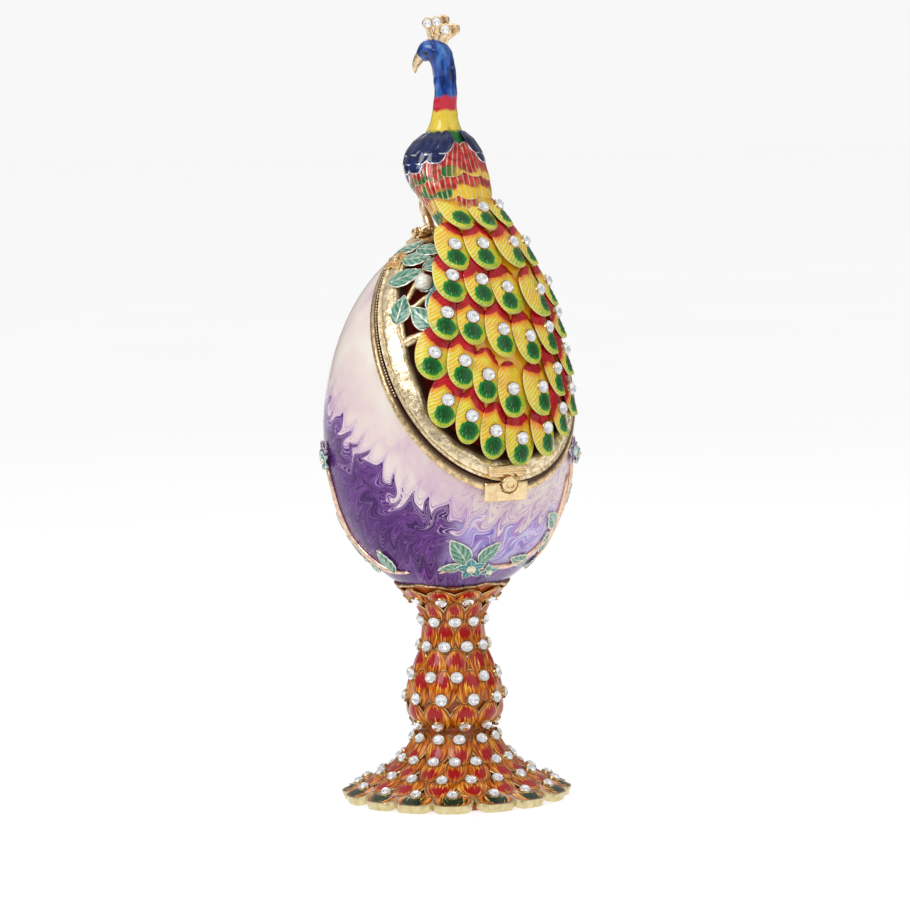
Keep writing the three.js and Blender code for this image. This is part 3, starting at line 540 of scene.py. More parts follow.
WALL, RIM_WIDTH = 2.0, 1.4
SEAM_LEAN = math.radians(30.4)
SEAM_OFFSET, SEAM_GAP = 18.4, 0.35
seam_normal = np.array([0, -math.cos(SEAM_LEAN), math.sin(SEAM_LEAN)])
seam_up = np.array([0, math.sin(SEAM_LEAN), math.cos(SEAM_LEAN)])


def seam_ring(distance, turn, offset):
    """Where a plane at a distance beyond the seam meets the egg. Turn 0 is the ring's top."""
    distance, turn, offset = np.broadcast_arrays(distance, turn, offset)
    reach = np.linspace(-60, 60, 1201)
    level = (SEAM_OFFSET + distance)[..., None] * seam_normal
    middle = []
    for line in level.reshape(-1, 3)[:: max(1, turn.shape[-1])]:
        walk = line + reach[:, None] * seam_up
        inside = (np.hypot(walk[:, 0], walk[:, 1]) < egg_radius(walk[:, 2])) & (np.abs(walk[:, 2] - 2) < 40)
        middle.append(reach[inside].mean())
    middle = np.repeat(np.array(middle), max(1, turn.shape[-1])).reshape(turn.shape)
    way = np.sin(turn)[..., None] * np.array([1, 0, 0]) + np.cos(turn)[..., None] * seam_up
    start = level + middle[..., None] * seam_up
    low, high = np.zeros(turn.shape), np.full(turn.shape, 60.0)
    for _ in range(30):
        half = (low + high) / 2
        point = start + half[..., None] * way
        top = np.where(point[..., 2] > 0, EGG_RISE, EGG_DROP) + offset
        within = (np.abs(point[..., 2]) < top) & \
            (np.hypot(point[..., 0], point[..., 1]) < egg_radius(point[..., 2], offset))
        low, high = np.where(within, half, low), np.where(within, high, half)
    point = start + low[..., None] * way
    point[..., 2] += EGG_CENTRE
    return point


def seam_height(angles, distance, offset):
    """The height at which each meridian of the egg reaches a plane beyond the seam."""
    heights = np.linspace(-EGG_DROP + 0.001, EGG_RISE - 0.001, 3000)
    points = on_egg(angles[None, :], heights[:, None], offset) - np.array([0, 0, EGG_CENTRE])
    return heights[np.argmax(points @ seam_normal > SEAM_OFFSET + distance, axis=0)]


def shell_grid(angles, rows, distance, offset):
    """The egg from its foot up to the seam."""
    top = seam_height(angles, distance, offset)
    climb = np.arcsin(np.clip(top / np.where(top > 0, EGG_RISE, EGG_DROP), -1, 1))
    share = np.linspace(0, 1, rows)[:, None]
    theta = -math.pi / 2 + share * (climb[None, :] + math.pi / 2)
    height = np.where(theta > 0, EGG_RISE, EGG_DROP) * np.sin(theta)
    return on_egg(angles[None, :] + 0 * height, height, offset), height


# The purple's upper border: height over the egg's centre by degrees round it, and the comb's teeth
COMB_TILT, COMB_PITCH, COMB_PULL = math.radians(38), 3.6, 5.4
BORDER_AT = np.array([-180, -150, -125, -100, -80, -57, -41, -15, 21, 60, 100, 140, 180.0])
BORDER_HEIGHT = np.array([2.0, 7.0, 8.0, 4.0, -4.0, -14.0, -19.0, -22.0, -22, -17.0, -12.0, -6.0, 2.0])


def border_height(x):
    """The height of the purple's upper border, x mm round the egg from its front."""
    return np.interp((np.degrees(x / EGG_RADIUS) + 180) % 360 - 180, BORDER_AT, BORDER_HEIGHT)


def curl(x, y, cx, cy, size, power):
    """Stirs the wet enamel about one point, most at its middle."""
    half_round = math.pi * EGG_RADIUS
    dx, dy = (x - cx + half_round) % (2 * half_round) - half_round, y - cy
    turn = power * np.exp(-(dx**2 + dy**2) / size**2)
    return x - dx + dx * np.cos(turn) - dy * np.sin(turn), cy + dx * np.sin(turn) + dy * np.cos(turn)


def combed(azimuth, height):
    """Marbling: the height of the colours' border after it was curled and drawn out with a comb.
    Returns how far a place lies above the border, and its place along it, in mm."""
    chance = np.random.default_rng(14)
    x, y = np.radians(azimuth) * EGG_RADIUS, height
    half_round = math.pi * EGG_RADIUS
    for cx in np.arange(-half_round, half_round, 3.1):
        cy = border_height(cx) + chance.uniform(-4.5, 2.5)
        size, power = chance.uniform(1.8, 3.0), chance.uniform(1.3, 2.1)
        x, y = curl(x, y, cx, cy, size, power if chance.random() < 0.8 else -power)
    for cx in np.arange(-half_round, half_round, 9.0):
        cy = border_height(cx) + chance.uniform(-9, 0)
        x, y = curl(x, y, cx, cy, chance.uniform(4.5, 6.5), chance.uniform(0.9, 1.4))
    across = -x * math.sin(COMB_TILT) + y * math.cos(COMB_TILT)
    tooth = np.abs((across + 1.3 * np.sin(x / 7)) / COMB_PITCH % 1 - 0.5) * 2
    pull = COMB_PULL * (1 - tooth) ** 1.8
    x = x - pull * math.cos(COMB_TILT)
    y = y - pull * math.sin(COMB_TILT)
    return y - border_height(x), x


shell = Casting()
angles = np.linspace(-math.pi, math.pi, 381, endpoint=False)
outer, heights = shell_grid(angles, 215, -RIM_WIDTH * 0.6, 0.0)
above, drift = combed(np.degrees(angles)[None, :] + 0 * heights, heights)
shell.skin(outer, np.stack([above, np.abs(drift), heights], -1), 9.0, 0, around=True, poles=(True, False))
inner, _ = shell_grid(angles[::3], 60, -0.2, -WALL)
shell.skin(inner[:, ::-1], finish=1, around=True, poles=(True, False))
round_seam = circle(360)
rim_profile = [(-0.9, -1.9), (0.0, -2.0), (0.0, -0.2), (-0.12, 0.25), (-0.28, 0.68), (-0.8, 0.85),
               (-1.4, 0.7), (-1.8, 0.25), (-1.9, -0.3), (-0.9, -1.9)]
rows = []
for distance, offset in rim_profile:
    row = seam_ring(np.full_like(round_seam, distance), round_seam, np.full_like(round_seam, offset))
    rough = 0.06 * lumps(row, 1.1, 5) * (offset > 0)
    rows.append(row + rough[:, None] * seam_normal)
# The rim's mask is 0 at the seam's edge and on the inner faces, where its gilt is painted dark brown as shade
# in the groove.
rim_unshaded = np.array([np.clip((-distance - 0.25) / 0.4, 0, 1) * (offset > -1)
                     for distance, offset in rim_profile])
shell.skin(np.stack(rows), (0, 0, 0), rim_unshaded[:, None] * np.ones(len(round_seam)), 2, around=True)

egg_enamel, b, shader = new_material("marbled_enamel", Specular_IOR_Level=0.15, Coat_Weight=0.18,
                                     Coat_Roughness=0.04)
above, drift, height = b.corner()
at = b.place()
east, north, _ = b.parts(at)[:]
cloud = b.noise(at, 0.06, 3.0, 0.8)
milk = b.noise(at, 0.16, 4.0, 1.5)
pearl = b.ramp(cloud, (0.34, (0.70, 0.52, 0.60)), (0.45, (0.80, 0.66, 0.64)), (0.58, (0.84, 0.74, 0.68)),
               (0.70, (0.90, 0.86, 0.78)))
flow = b.vector(b.times(drift, 0.12), b.times(above, 0.36), b.times(east, 0.03))
grain = b.noise(flow, 1.0, 3.0, 0.9)
feather = b.contours(grain, 7.0, 0.02, 0.20)
lines = b.contours(b.noise(at, 1 / 9, 1.0, 2.6, 0.4), 5.0, 0.0, 0.12)
violet = b.ramp(grain, (0.30, (0.026, 0.003, 0.062)), (0.50, (0.062, 0.009, 0.13)),
                (0.68, (0.13, 0.028, 0.24)))
violet = b.mix(b.times(feather, 0.42), violet, (0.42, 0.20, 0.52))
lilac = b.ramp(grain, (0.35, (0.30, 0.13, 0.46)), (0.6, (0.62, 0.42, 0.68)))
below = b.step(above, -0.12, 0.12, 1.0, 0.0)
ripple = b.wave(b.plus(above, b.times(grain, 3.4)), 1.5)
fringe = b.times(b.step(above, 0.2, 6.5, 1.0, 0.0), b.step(ripple, 0.45, 0.85, 0.08, 1.0))
colour = b.mix(fringe, pearl, lilac)
veil = b.times(b.step(above, -6.0, -0.4), b.step(ripple, 0.72, 0.95))
violet = b.mix(b.times(veil, 0.85), violet, (0.70, 0.50, 0.76))
right = b.times(b.step(east, -13.5, -8.0), b.step(north, -4.0, -12.0, 0.0, 1.0))
right = b.times(right, b.step(height, -33.0, -27.0, 0.15, 1.0))
pool = b.ramp(grain, (0.34, (0.22, 0.13, 0.52)), (0.48, (0.48, 0.44, 0.80)), (0.62, (0.74, 0.68, 0.88)))
pool = b.mix(b.times(feather, 0.6), pool, (0.26, 0.11, 0.48))
violet = b.mix(b.times(right, 0.9), violet, pool)
colour = b.mix(below, colour, violet)
rose = b.times(b.times(right, feather), b.step(height, -10.0, -4.0, 0.7, 0.0))
colour = b.mix(rose, colour, (0.50, 0.24, 0.56))
colour = b.mix(b.times(lines, b.step(cloud, 0.40, 0.55, 0.16, 0.0)), colour, (0.52, 0.34, 0.58))
wire(b, shader, colour, b.step(milk, 0.3, 0.7, 0.12, 0.2), height=cloud, depth=0.15, strength=0.3)

# Painted light: the lining glows faintly in its own dark red, so the inside seen through the openings is
# maroon instead of black.
glowing_lining, b, shader = new_material("dark_red_lining_glowing", Coat_Weight=0.3, Coat_Roughness=0.3,
                                 Emission_Strength=0.05)
mottle = b.noise(b.place(), 0.35, 4.0)
maroon = b.ramp(mottle, (0.3, (0.34, 0.030, 0.020)), (0.7, (0.55, 0.075, 0.045)))
wire(b, shader, maroon, b.step(mottle, 0.3, 0.7, 0.35, 0.5), height=mottle, depth=0.1)
b.tree.links.new(maroon, shader.inputs["Emission Color"])


def groove_shaded_gilt(name, light, dark, pit, depth):
    """Gilding painted dark brown where the edge value is 0: painted shade in the hollows, as in the groove
    along the seam.
    """
    material, b, shader = new_material(name)
    given = use_group(b, gilt_group, Place=b.place(), Light=(*light, 1), Dark=(*dark, 1),
                      Pit_Size=pit, Wear=0.6)
    outside = b.edge()
    wire(b, shader, b.mix(outside, (0.07, 0.022, 0.010), given["Color"]), given["Roughness"],
         b.step(outside, 0.0, 1.0, 0.3, 1.0), given["Height"], depth)
    return material


rim_gilt = groove_shaded_gilt("gilt_rim", (0.90, 0.68, 0.38), (0.25, 0.12, 0.04), 1.2, 0.10)
shell.build("egg_body", [egg_enamel, glowing_lining, rim_gilt], "box", "egg_enamel", "egg_shell")

# The vines: cast in relief on the egg body, so they are part of it and ride with it. Pink gold stems
# run down its sides and round its foot, with mint leaves and teal and plum blossoms enamelled by hand.


def tube_skin(casting, points, radius, finish=0, sides=10, seed=0.0, taper=0.35):
    """A round stem through points, with closed ends, a little uneven like a casting."""
    path = np.asarray(points, float)
    way = np.gradient(path, axis=0)
    way /= np.linalg.norm(way, axis=1)[:, None]
    side = np.cross(way, [0.31, 0.17, 0.93])
    side /= np.linalg.norm(side, axis=1)[:, None]
    other = np.cross(way, side)
    turn = circle(sides)
    run = np.linspace(0, 1, len(path))
    size = radius * (1 - (1 - taper) * np.abs(2 * run - 1) ** 6) * (1 + 0.12 * lumps(path, 1.7, seed))
    size[0] = size[-1] = 0
    rows = path[:, None] + size[:, None, None] * (
        np.cos(turn)[None, :, None] * side[:, None] + np.sin(turn)[None, :, None] * other[:, None])
    place = np.stack(np.broadcast_arrays(np.cos(turn), run[:, None], seed), -1)
    casting.closed(rows, place, 0.5, finish)


def lay_on_egg(x, y, z, azimuth, height, turn, offset):
    """Lays a flat form on the egg, turned by some degrees about the surface's normal."""
    c, s = math.cos(math.radians(turn)), math.sin(math.radians(turn))
    across, up = x * c - y * s, x * s + y * c
    steep = 1 / math.hypot(1, egg_radius(height + 0.5) - egg_radius(height - 0.5))
    return on_egg(math.radians(azimuth) + across / egg_radius(height), height + up * steep, offset + z)


def leaf_shape(t):
    return np.clip(np.sin(math.pi * t**0.8), 0, 1) ** 0.8 * (1 - 0.2 * t)


def leaf_relief(u, t):
    vein = -0.22 * np.exp(-((u / 0.09) ** 2)) * (1 - t)
    ribs = 0.07 * np.cos(2 * math.pi * (4.5 * t - 1.6 * np.abs(u)))
    return 0.35 * (1 - u**2) + vein + ribs + 0.14 * np.exp(-((np.abs(u) - 0.93) / 0.07) ** 2)


def leaf_skin(casting, azimuth, height, turn, half_width, half_length, offset, finish, seed):
    x, y, z, place, edge = scale_form(half_width, 2 * half_length, 0.7, 18, 15, leaf_shape, leaf_relief, seed)
    points = lay_on_egg(x, y - half_length, z, azimuth, height, turn, offset)
    casting.closed(points, place, edge, finish)


def blossom_skin(casting, azimuth, height, petals, size, offset, finish, heart, seed):
    for i in range(petals):
        x, y, z, place, edge = scale_form(0.5 * size, 1.15 * size, 0.5, 12, 11, leaf_shape, leaf_relief,
                                          seed + i)
        turn = 360 * i / petals + 20 * seed
        points = lay_on_egg(x, y + 0.1 * size, z + 0.1, azimuth, height, turn, offset)
        casting.closed(points, place, edge, finish)
    a = circle(12)
    rows = [lay_on_egg(r * size * np.cos(a), r * size * np.sin(a), z, azimuth, height, 0, offset)
            for r, z in [(0.0, 1.0), (0.25, 0.95), (0.38, 0.7), (0.42, 0.2), (0.0, -0.4)]]
    casting.closed(np.stack(rows), (0, 0.5, seed), 0.6, heart)


def egg_path(spots, offset, count=40):
    spots = smooth(spots, count)
    return on_egg(np.radians(spots[:, 0]), spots[:, 1] * EGG_RISE, offset)


def spray(azimuth, seed):
    stem = [(0, -0.13), (4, -0.28), (3, -0.41), (1, -0.53), (10, -0.645), (24, -0.725), (46, -0.735)]
    tube_skin(vines, egg_path([(azimuth + a, s) for a, s in stem], 0.25, 60), 0.7, 0, seed=seed)
    for swing, share, turn, wide, tall, tint in [
        (-9, -0.48, 60, 2.1, 3.6, 1), (31, -0.67, 10, 2.2, 3.4, 1), (7, -0.72, -70, 1.8, 3.0, 1),
        (-3, -0.60, 35, 1.8, 2.8, 1),
    ]:
        leaf_skin(vines, azimuth + swing, share * EGG_RISE, turn, wide, tall, 0.5, tint, seed + share)
    blossom_skin(vines, azimuth, -0.126 * EGG_RISE, 5, 2.7, 0.7, 3, 2, seed)
    blossom_skin(vines, azimuth + 5, -0.15 * EGG_RISE, 5, 1.7, 1.2, 2, 4, seed + 0.5)


def garland(azimuth, seed, blossom=True):
    stem = [(-30, -0.735), (-14, -0.7), (6, -0.71), (28, -0.7), (46, -0.62), (53, -0.5), (53, -0.24)]
    tube_skin(vines, egg_path([(azimuth + a, s) for a, s in stem], 0.25, 70), 0.65, 0, seed=seed)
    leaves = [(-15, -0.61, 30, 2.5, 4.0, 1), (3, -0.62, -35, 2.1, 3.4, 1), (30, -0.68, 75, 1.9, 3.4, 1),
              (-21, -0.70, 100, 1.6, 2.8, 1), (50, -0.60, 20, 1.8, 3.0, 1)]
    if blossom:
        leaves.append((66, -0.36, -40, 1.6, 2.8, 1))
    for swing, share, turn, wide, tall, tint in leaves:
        leaf_skin(vines, azimuth + swing, share * EGG_RISE, turn, wide, tall, 0.5, tint, seed + share)
    if blossom:
        blossom_skin(vines, azimuth - 7, -0.70 * EGG_RISE, 5, 2.7, 0.7, 2, 4, seed)
        blossom_skin(vines, azimuth + 6, -0.715 * EGG_RISE, 4, 1.8, 0.9, 2, 4, seed + 0.4)


vines = Casting()
for i, azimuth in enumerate((-108, 45, 150)):
    spray(azimuth, 0.2 + 0.3 * i)
garland(-10, 0.35)
garland(96, 0.55, False)
garland(-158, 0.75, False)


def enamel(name, coat_roughness):
    """Enamel fired over the casting, under a clear glossy coat."""
    return new_material(name, Specular_IOR_Level=0.25, Coat_Weight=0.5, Coat_Roughness=coat_roughness)


def leaf_enamel(name, deep, pale, rim, dapple=0.6):
    """Opaque enamel brushed over a veined leaf, with pale gilt showing at its rim and veins."""
    material, b, shader = enamel(name, 0.08)
    across, along, seed = b.corner()
    edge = b.edge()
    spread = b.absolute(across)
    ribs = b.wave(b.minus(b.times(along, 4.5), b.times(spread, 1.6)), 1.0)
    vein = b.step(spread, 0.03, 0.10, 1.0, 0.0)
    cloud = b.noise(b.place(), 0.7, 3.0, 0.6)
    tone = b.times(b.step(ribs, 0.2, 0.9), 0.38)
    tone = b.math("ADD", tone, b.times(b.minus(cloud, 0.35), dapple), clamp=True)
    colour = b.mix(tone, deep, pale)
    lip = b.math("MAXIMUM", b.step(edge, 0.12, 0.36, 1.0, 0.0), b.times(vein, 0.7))
    colour = b.mix(lip, colour, rim)
    wire(b, shader, colour, b.step(lip, 0, 1, 0.16, 0.3), b.times(lip, 0.5), ribs, 0.08, 0.6)
    return material


stem_gilt = gilt("pink_gilt_stems", (0.90, 0.66, 0.50), (0.42, 0.20, 0.16), 1.5, 0.5, 0.08)
mint = leaf_enamel("mint_leaf_enamel", (0.02, 0.15, 0.09), (0.40, 0.66, 0.52), (0.92, 0.88, 0.72), 1.2)
teal = leaf_enamel("teal_blossom_enamel", (0.01, 0.16, 0.18), (0.22, 0.62, 0.62), (0.80, 0.88, 0.80))
plum = leaf_enamel("plum_petal_enamel", (0.06, 0.02, 0.10), (0.30, 0.16, 0.34), (0.80, 0.66, 0.74))
cream = leaf_enamel("cream_petal_enamel", (0.20, 0.42, 0.36), (0.80, 0.80, 0.66), (0.92, 0.84, 0.60))
vines.build("egg_vines", [stem_gilt, mint, teal, plum, cream], "box", "egg_enamel")

# The lid: a hammered gilt band with openwork branches inside it, one casting, with a string of beads
# along the seam. Mint and teal leaves, pearly buds and orange blossoms are enamelled on it.

BAND_WIDTH = 4.5
BEAD_RADIUS, BEAD_STEP, BEAD_ABOVE_SEAM, BEAD_PROUD = 0.27, 1.7, 0.12, 0.62
lid = Casting()
turn_from_top = np.abs((round_seam + math.pi) % (2 * math.pi) - math.pi)
band_width = np.interp(np.degrees(turn_from_top), [0, 35, 65, 90, 110, 125, 140, 155, 180],
                       np.array([0.90, 0.88, 0.94, 1.0, 0.88, 0.74, 0.52, 0.48, 0.52]) * BAND_WIDTH)
# The band's section: share of its width from the seam, and height over the egg in mm
band_profile = [
    (0.0, -1.6), (0.0, -0.2), (0.05, 0.1), (0.09, 0.75), (0.13, 0.98), (0.17, 0.85), (0.20, 0.45),
    (0.24, 0.60), (0.30, 0.75), (0.38, 0.8), (0.46, 0.82), (0.54, 0.82), (0.62, 0.8), (0.70, 0.78),
    (0.78, 0.74), (0.85, 0.66), (0.90, 0.62), (0.94, 0.74), (0.98, 0.6), (1.0, 0.3), (0.99, -0.2),
    (0.96, -0.9), (0.92, -1.5), (0.5, -1.6), (0.0, -1.6),
]
rows = []
for share, offset in band_profile:
    row = seam_ring(SEAM_GAP + share * band_width, round_seam, np.full_like(round_seam, offset))
    bumps = np.zeros(len(row))
    if offset > 0.4 and share > 0.2:
        bumps = 0.16 * lumps(row, 2.2, 2) + 0.05 * lumps(row, 0.9, 7)
    elif offset > 0.4:
        bumps = 0.05 * lumps(row, 0.9, 4)
    ragged = 0.34 * lumps(row, 2.6, 9) * (share > 0.8)
    out = row - np.array([0, 0, EGG_CENTRE])
    out /= np.linalg.norm(out, axis=1)[:, None]
    rows.append(row + out * bumps[:, None] + ragged[:, None] * seam_normal)
# The band's mask is 0 by the seam and on its underside, where the gilt is painted dark brown as shade in the
# groove.
band_unshaded = np.array([np.clip((share - 0.085) / 0.06, 0, 1) * np.clip((offset - 0.1) / 0.5, 0, 1)
                      for share, offset in band_profile])
lid.skin(np.stack(rows), (0, 0, 0), band_unshaded[:, None] * np.ones(len(round_seam)), 0, around=True)


def ball_skin(casting, centre, axes, finish, rows, sides):
    """An ovoid whose three half axes are given as vectors."""
    a, r = circle(sides)[None, :], np.linspace(0, math.pi, rows)[:, None]
    ways = np.stack([np.cos(a) * np.sin(r), np.sin(a) * np.sin(r), np.cos(r) + 0 * a], -1)
    casting.closed(centre + ways @ np.array(axes), edge=0.0, finish=finish)


for turn in np.radians(np.arange(-110, 42, BEAD_STEP)):
    centre = seam_ring(np.array([BEAD_ABOVE_SEAM]), np.array([turn]), np.array([BEAD_PROUD]))[0]
    ball_skin(lid, centre, BEAD_RADIUS * np.eye(3), 1, 6, 8)

# Branches and leaves by azimuth in degrees and share of the egg's rise, mirrored left and right
INNER_BRANCH = -1.05
LEAF_SPREAD, LEAF_STRETCH = 1.12, 1.05
middle_branch = [(0, 0.93), (0, 0.75), (1, 0.5), (1, 0.2), (0, -0.05), (-1, -0.26)]
tube_skin(lid, egg_path(middle_branch, INNER_BRANCH, 80), 0.85, 1, seed=1)
for hand in (-1, 1):
    for spots, offset, radius in [
        ([(57, 0.44), (48, 0.50), (36, 0.53), (16, 0.52), (0, 0.5)], -0.6, 1.25),
        ([(44, 0.09), (34, 0.2), (22, 0.26), (10, 0.25), (0, 0.22)], INNER_BRANCH, 0.85),
        ([(66, 0.62), (58, 0.66), (50, 0.66), (42, 0.71), (28, 0.74), (0, 0.74)], -0.3, 0.75),
        ([(57, 0.66), (52, 0.78), (46, 0.88), (30, 0.95)], -0.2, 0.75),
        ([(57, 0.68), (56, 0.58), (52, 0.47)], -0.3, 0.75),
    ]:
        tube_skin(lid, egg_path([(hand * a, s) for a, s in spots], offset), radius, 1, seed=3 + radius)
    for azimuth, share, turn, wide, tall, offset, tint in [
        (57.5, 0.64, 4, 2.5, 3.4, 0.6, 2), (43.5, 0.60, -48, 2.4, 3.6, 0.6, 2),
        (61, 0.80, 62, 2.3, 3.9, 0.8, 2), (58, 0.885, 84, 2.2, 3.2, 1.0, 2),
        (47, 0.925, 100, 2.1, 3.2, 1.1, 2), (80, 0.94, 40, 2.2, 3.0, 1.0, 2),
        (36, 0.86, 70, 2.0, 3.2, 0.9, 2), (37, 0.70, 8, 1.7, 3.6, 0.6, 3),
        (41, 0.76, 60, 1.2, 2.2, 0.4, 3),
    ]:
        leaf_skin(lid, hand * azimuth, share * EGG_RISE, hand * turn, LEAF_SPREAD * wide, LEAF_STRETCH * tall,
                  offset, tint, share + hand)
    blossom_skin(lid, hand * 82, 0.875 * EGG_RISE, 5, 2.6, 0.9, 4, 5, 0.4)


def bud(casting, azimuth, height, size, offset, finish):
    """A furled bud: a rounded cone with a spiral groove."""
    a = circle(28)
    rows = []
    for t in np.linspace(0, 1, 22):
        swell = math.sin(math.pi * (0.06 + 0.9 * t) ** 0.8)
        r = size * (0.95 * swell + 0.02) * (1 + 0.09 * np.cos(a - 13 * t)) * (0 if t in (0.0, 1.0) else 1)
        rows.append(lay_on_egg(r * np.cos(a), 2.3 * size * (t - 0.5) + 0 * a, r * np.sin(a) * 0.8 + 0.3,
                               azimuth, height, 20, offset))
    casting.closed(np.stack(rows), (0, 0.5, 0.3), 2.0, finish)


for hand in (-1, 1):
    bud(lid, hand * 45.5, 0.775 * EGG_RISE, 2.0, 0.9, 6)

band_gilt = groove_shaded_gilt("hammered_gilt_band", (1.0, 0.86, 0.57), (0.40, 0.20, 0.07), 1.0, 0.12)
branch_gilt = gilt("gilt_branches", (0.93, 0.73, 0.44), (0.35, 0.18, 0.07), 1.0, 0.6, 0.12)
gold_petal = leaf_enamel("orange_petal_enamel", (0.45, 0.18, 0.03), (0.90, 0.52, 0.12), (0.98, 0.80, 0.45))
pearl_bud = leaf_enamel("pearl_bud_enamel", (0.45, 0.50, 0.44), (0.86, 0.86, 0.80), (0.9, 0.88, 0.8), 1.2)
lid.build("lid_casting", [band_gilt, branch_gilt, mint, teal, gold_petal, branch_gilt, pearl_bud], "lid",
          "lid_gold", "lid_frame")

# The hinge at the top of the seam and the catch at its foot, gilt brass, soldered on. The hinge has
# two leaves on one pin. The catch is a plate with a round boss that snaps over the lid's lip.

PIN_RADIUS, KNUCKLE_RADIUS, HINGE_WIDTH = 0.55, 1.3, 10.0
HINGE_AT = np.array([0.0, 3.363, 126.888])
half_hinge = HINGE_WIDTH / 2
half_middle = 0.38 * half_hinge


def barrel(casting, radius, low, high, bore=0.0):
    """A turned length of the hinge, with rounded ends."""
    a = circle(32)
    lip = 0.15
    profile = [(bore, low), (radius - lip, low), (radius, low + lip), (radius, high - lip),
               (radius - lip, high), (bore, high)]
    if bore:
        profile.append(profile[0])
    rows = [np.stack([x + 0 * a, HINGE_AT[1] + r * np.cos(a), HINGE_AT[2] + r * np.sin(a)], -1)
            for r, x in profile]
    casting.skin(np.stack(rows), edge=0.0, around=True, poles=(not bore, not bore))


def hinge_plate(casting, low, high, half_width):
    """A curved leaf that follows the egg, between two distances from the seam."""
    xs = np.linspace(-half_width, half_width, 15)
    rows = []
    for distance, offset in [(low, 1.2), (low, 2.0), (high, 2.0), (high, 1.2), (low, 1.2)]:
        ring = seam_ring(np.full(60, distance), np.linspace(-0.6, 0.6, 60), np.full(60, offset))
        rows.append(np.stack([xs] + [np.interp(xs, ring[:, 0], ring[:, k]) for k in (1, 2)], -1))
    grid = np.stack(rows)
    casting.skin(grid, edge=0.0)
    for side in (0, -1):
        corner = grid[:4, side]
        casting.skin(np.stack([corner[[0, 1]], corner[[3, 2]]]), edge=0.0)


polished_gilt = gilt("polished_gilt", (0.92, 0.72, 0.42), (0.5, 0.28, 0.1), 1.6, 0.4, 0.05)
body_leaf, lid_leaf, pin = Casting(), Casting(), Casting()
for low, high in ((-half_hinge, -half_middle - 0.3), (half_middle + 0.3, half_hinge)):
    barrel(body_leaf, KNUCKLE_RADIUS, low, high, bore=PIN_RADIUS + 0.2)
hinge_plate(body_leaf, -5.0, -1.0, half_hinge)
barrel(lid_leaf, KNUCKLE_RADIUS, -half_middle, half_middle, bore=PIN_RADIUS + 0.2)
hinge_plate(lid_leaf, 1.0, 3.6, 0.85 * half_middle)
barrel(pin, PIN_RADIUS, -half_hinge - 0.4, half_hinge + 0.4)
for low, high in ((-half_hinge - 1.0, -half_hinge - 0.3), (half_hinge + 0.3, half_hinge + 1.0)):
    barrel(pin, PIN_RADIUS + 0.4, low, high)
body_leaf.build("hinge_leaf_on_body", [polished_gilt], "box", "gold", "hinge_leaf_body")
lid_leaf.build("hinge_leaf_on_lid", [polished_gilt], "lid", "gold", "hinge_leaf_lid")
pin.build("hinge_pin_turned", [polished_gilt], "box", "gold", "hinge_pin")

CATCH_WIDTH, CATCH_TALL, CATCH_SWING = 9.9, 4.1, -4.0
BOSS_AT = (0.3, -0.5)
seam_foot = float(seam_height(np.radians([CATCH_SWING]), 0.0, 0.0)[0])


def on_catch(x, y, z):
    """A place by the catch: x across, y over the seam, z off the egg."""
    return on_egg(math.radians(CATCH_SWING) + x / egg_radius(seam_foot), seam_foot + y, z)


def catch_block(casting, wide, low, high, top, room, ridges=0.0, seed=1.0):
    """A raised block with rounded edges that follows the egg, and leaves room round the boss."""
    u = np.concatenate([np.linspace(-1, 1, 44), np.linspace(1, -1, 6)[1:-1]])[None, :] * np.ones((30, 1))
    t = np.linspace(0, 1, 30)[:, None] * np.ones_like(u)
    x, y = u * wide, low + (high - low) * t
    inset = np.minimum((1 - np.abs(u)) * wide, np.minimum(t, 1 - t) * (high - low))
    z = top - 0.5 * np.clip(1 - inset / 0.45, 0, 1) ** 2
    z = z + 0.07 * lumps(np.stack([x, y, x * 0], -1), 1.1, seed)
    z = z + ridges * np.cos(2 * math.pi * y / 0.95) * (inset > 0.3)
    z = np.where(np.hypot(x - BOSS_AT[0], y - BOSS_AT[1]) < room, 1.1, z)
    z = np.where(np.arange(u.shape[1]) < 44, z, 0.15 if low < 0 else -0.3)
    casting.skin(on_catch(x, y, z), edge=1.0, around=True)
    for row in (0, -1):
        ends = on_catch(x[row], y[row], z[row])
        middle = np.broadcast_to(ends.mean(axis=0), ends.shape)
        casting.skin(np.stack([ends, middle]), edge=1.0, around=True, poles=(False, True))


catch = Casting()
catch_block(catch, CATCH_WIDTH / 2, -0.25 - CATCH_TALL, -0.25, 2.0, 2.05)
a = circle(36)
boss = [(0.0, 2.35), (0.55, 2.35), (0.62, 2.2), (0.78, 2.2), (0.85, 2.35), (1.25, 2.45), (1.5, 2.4),
        (1.7, 2.2), (1.75, 1.2), (0.0, 1.0)]
rows = [on_catch(BOSS_AT[0] + r * np.cos(a), BOSS_AT[1] + r * np.sin(a) * (0.9 if r < 1 else 1), z)
        for r, z in boss]
catch.closed(np.stack(rows), edge=1.0)
catch.build("catch_fitting", [polished_gilt], "box", "gold", "catch_plate")
catch_lip = Casting()
catch_block(catch_lip, 0.43 * CATCH_WIDTH, 0.9, 3.4, 2.25, 2.3, 0.2, seed=4)
catch_lip.build("catch_lip", [polished_gilt], "lid", "lid_gold", "lid_frame")

# The peacock's tail: cast as rows of overlapping plumes on a curved sheet and enamelled yellow to
# green, with a green eye under each stone and a red band where a row comes out under the next.

TAIL_LIFT, TAIL_STANDOFF, TAIL_HALF_WIDTH = 1.1, 0.29, 22.0
PLUME_LENGTH, PLUME_PITCH, PLUME_ROLL, PLUME_SINK = 12.6, 0.1, 0.13, 0.45
FAN = math.radians(1.1)
BIRD_TURN = math.radians(5.5)
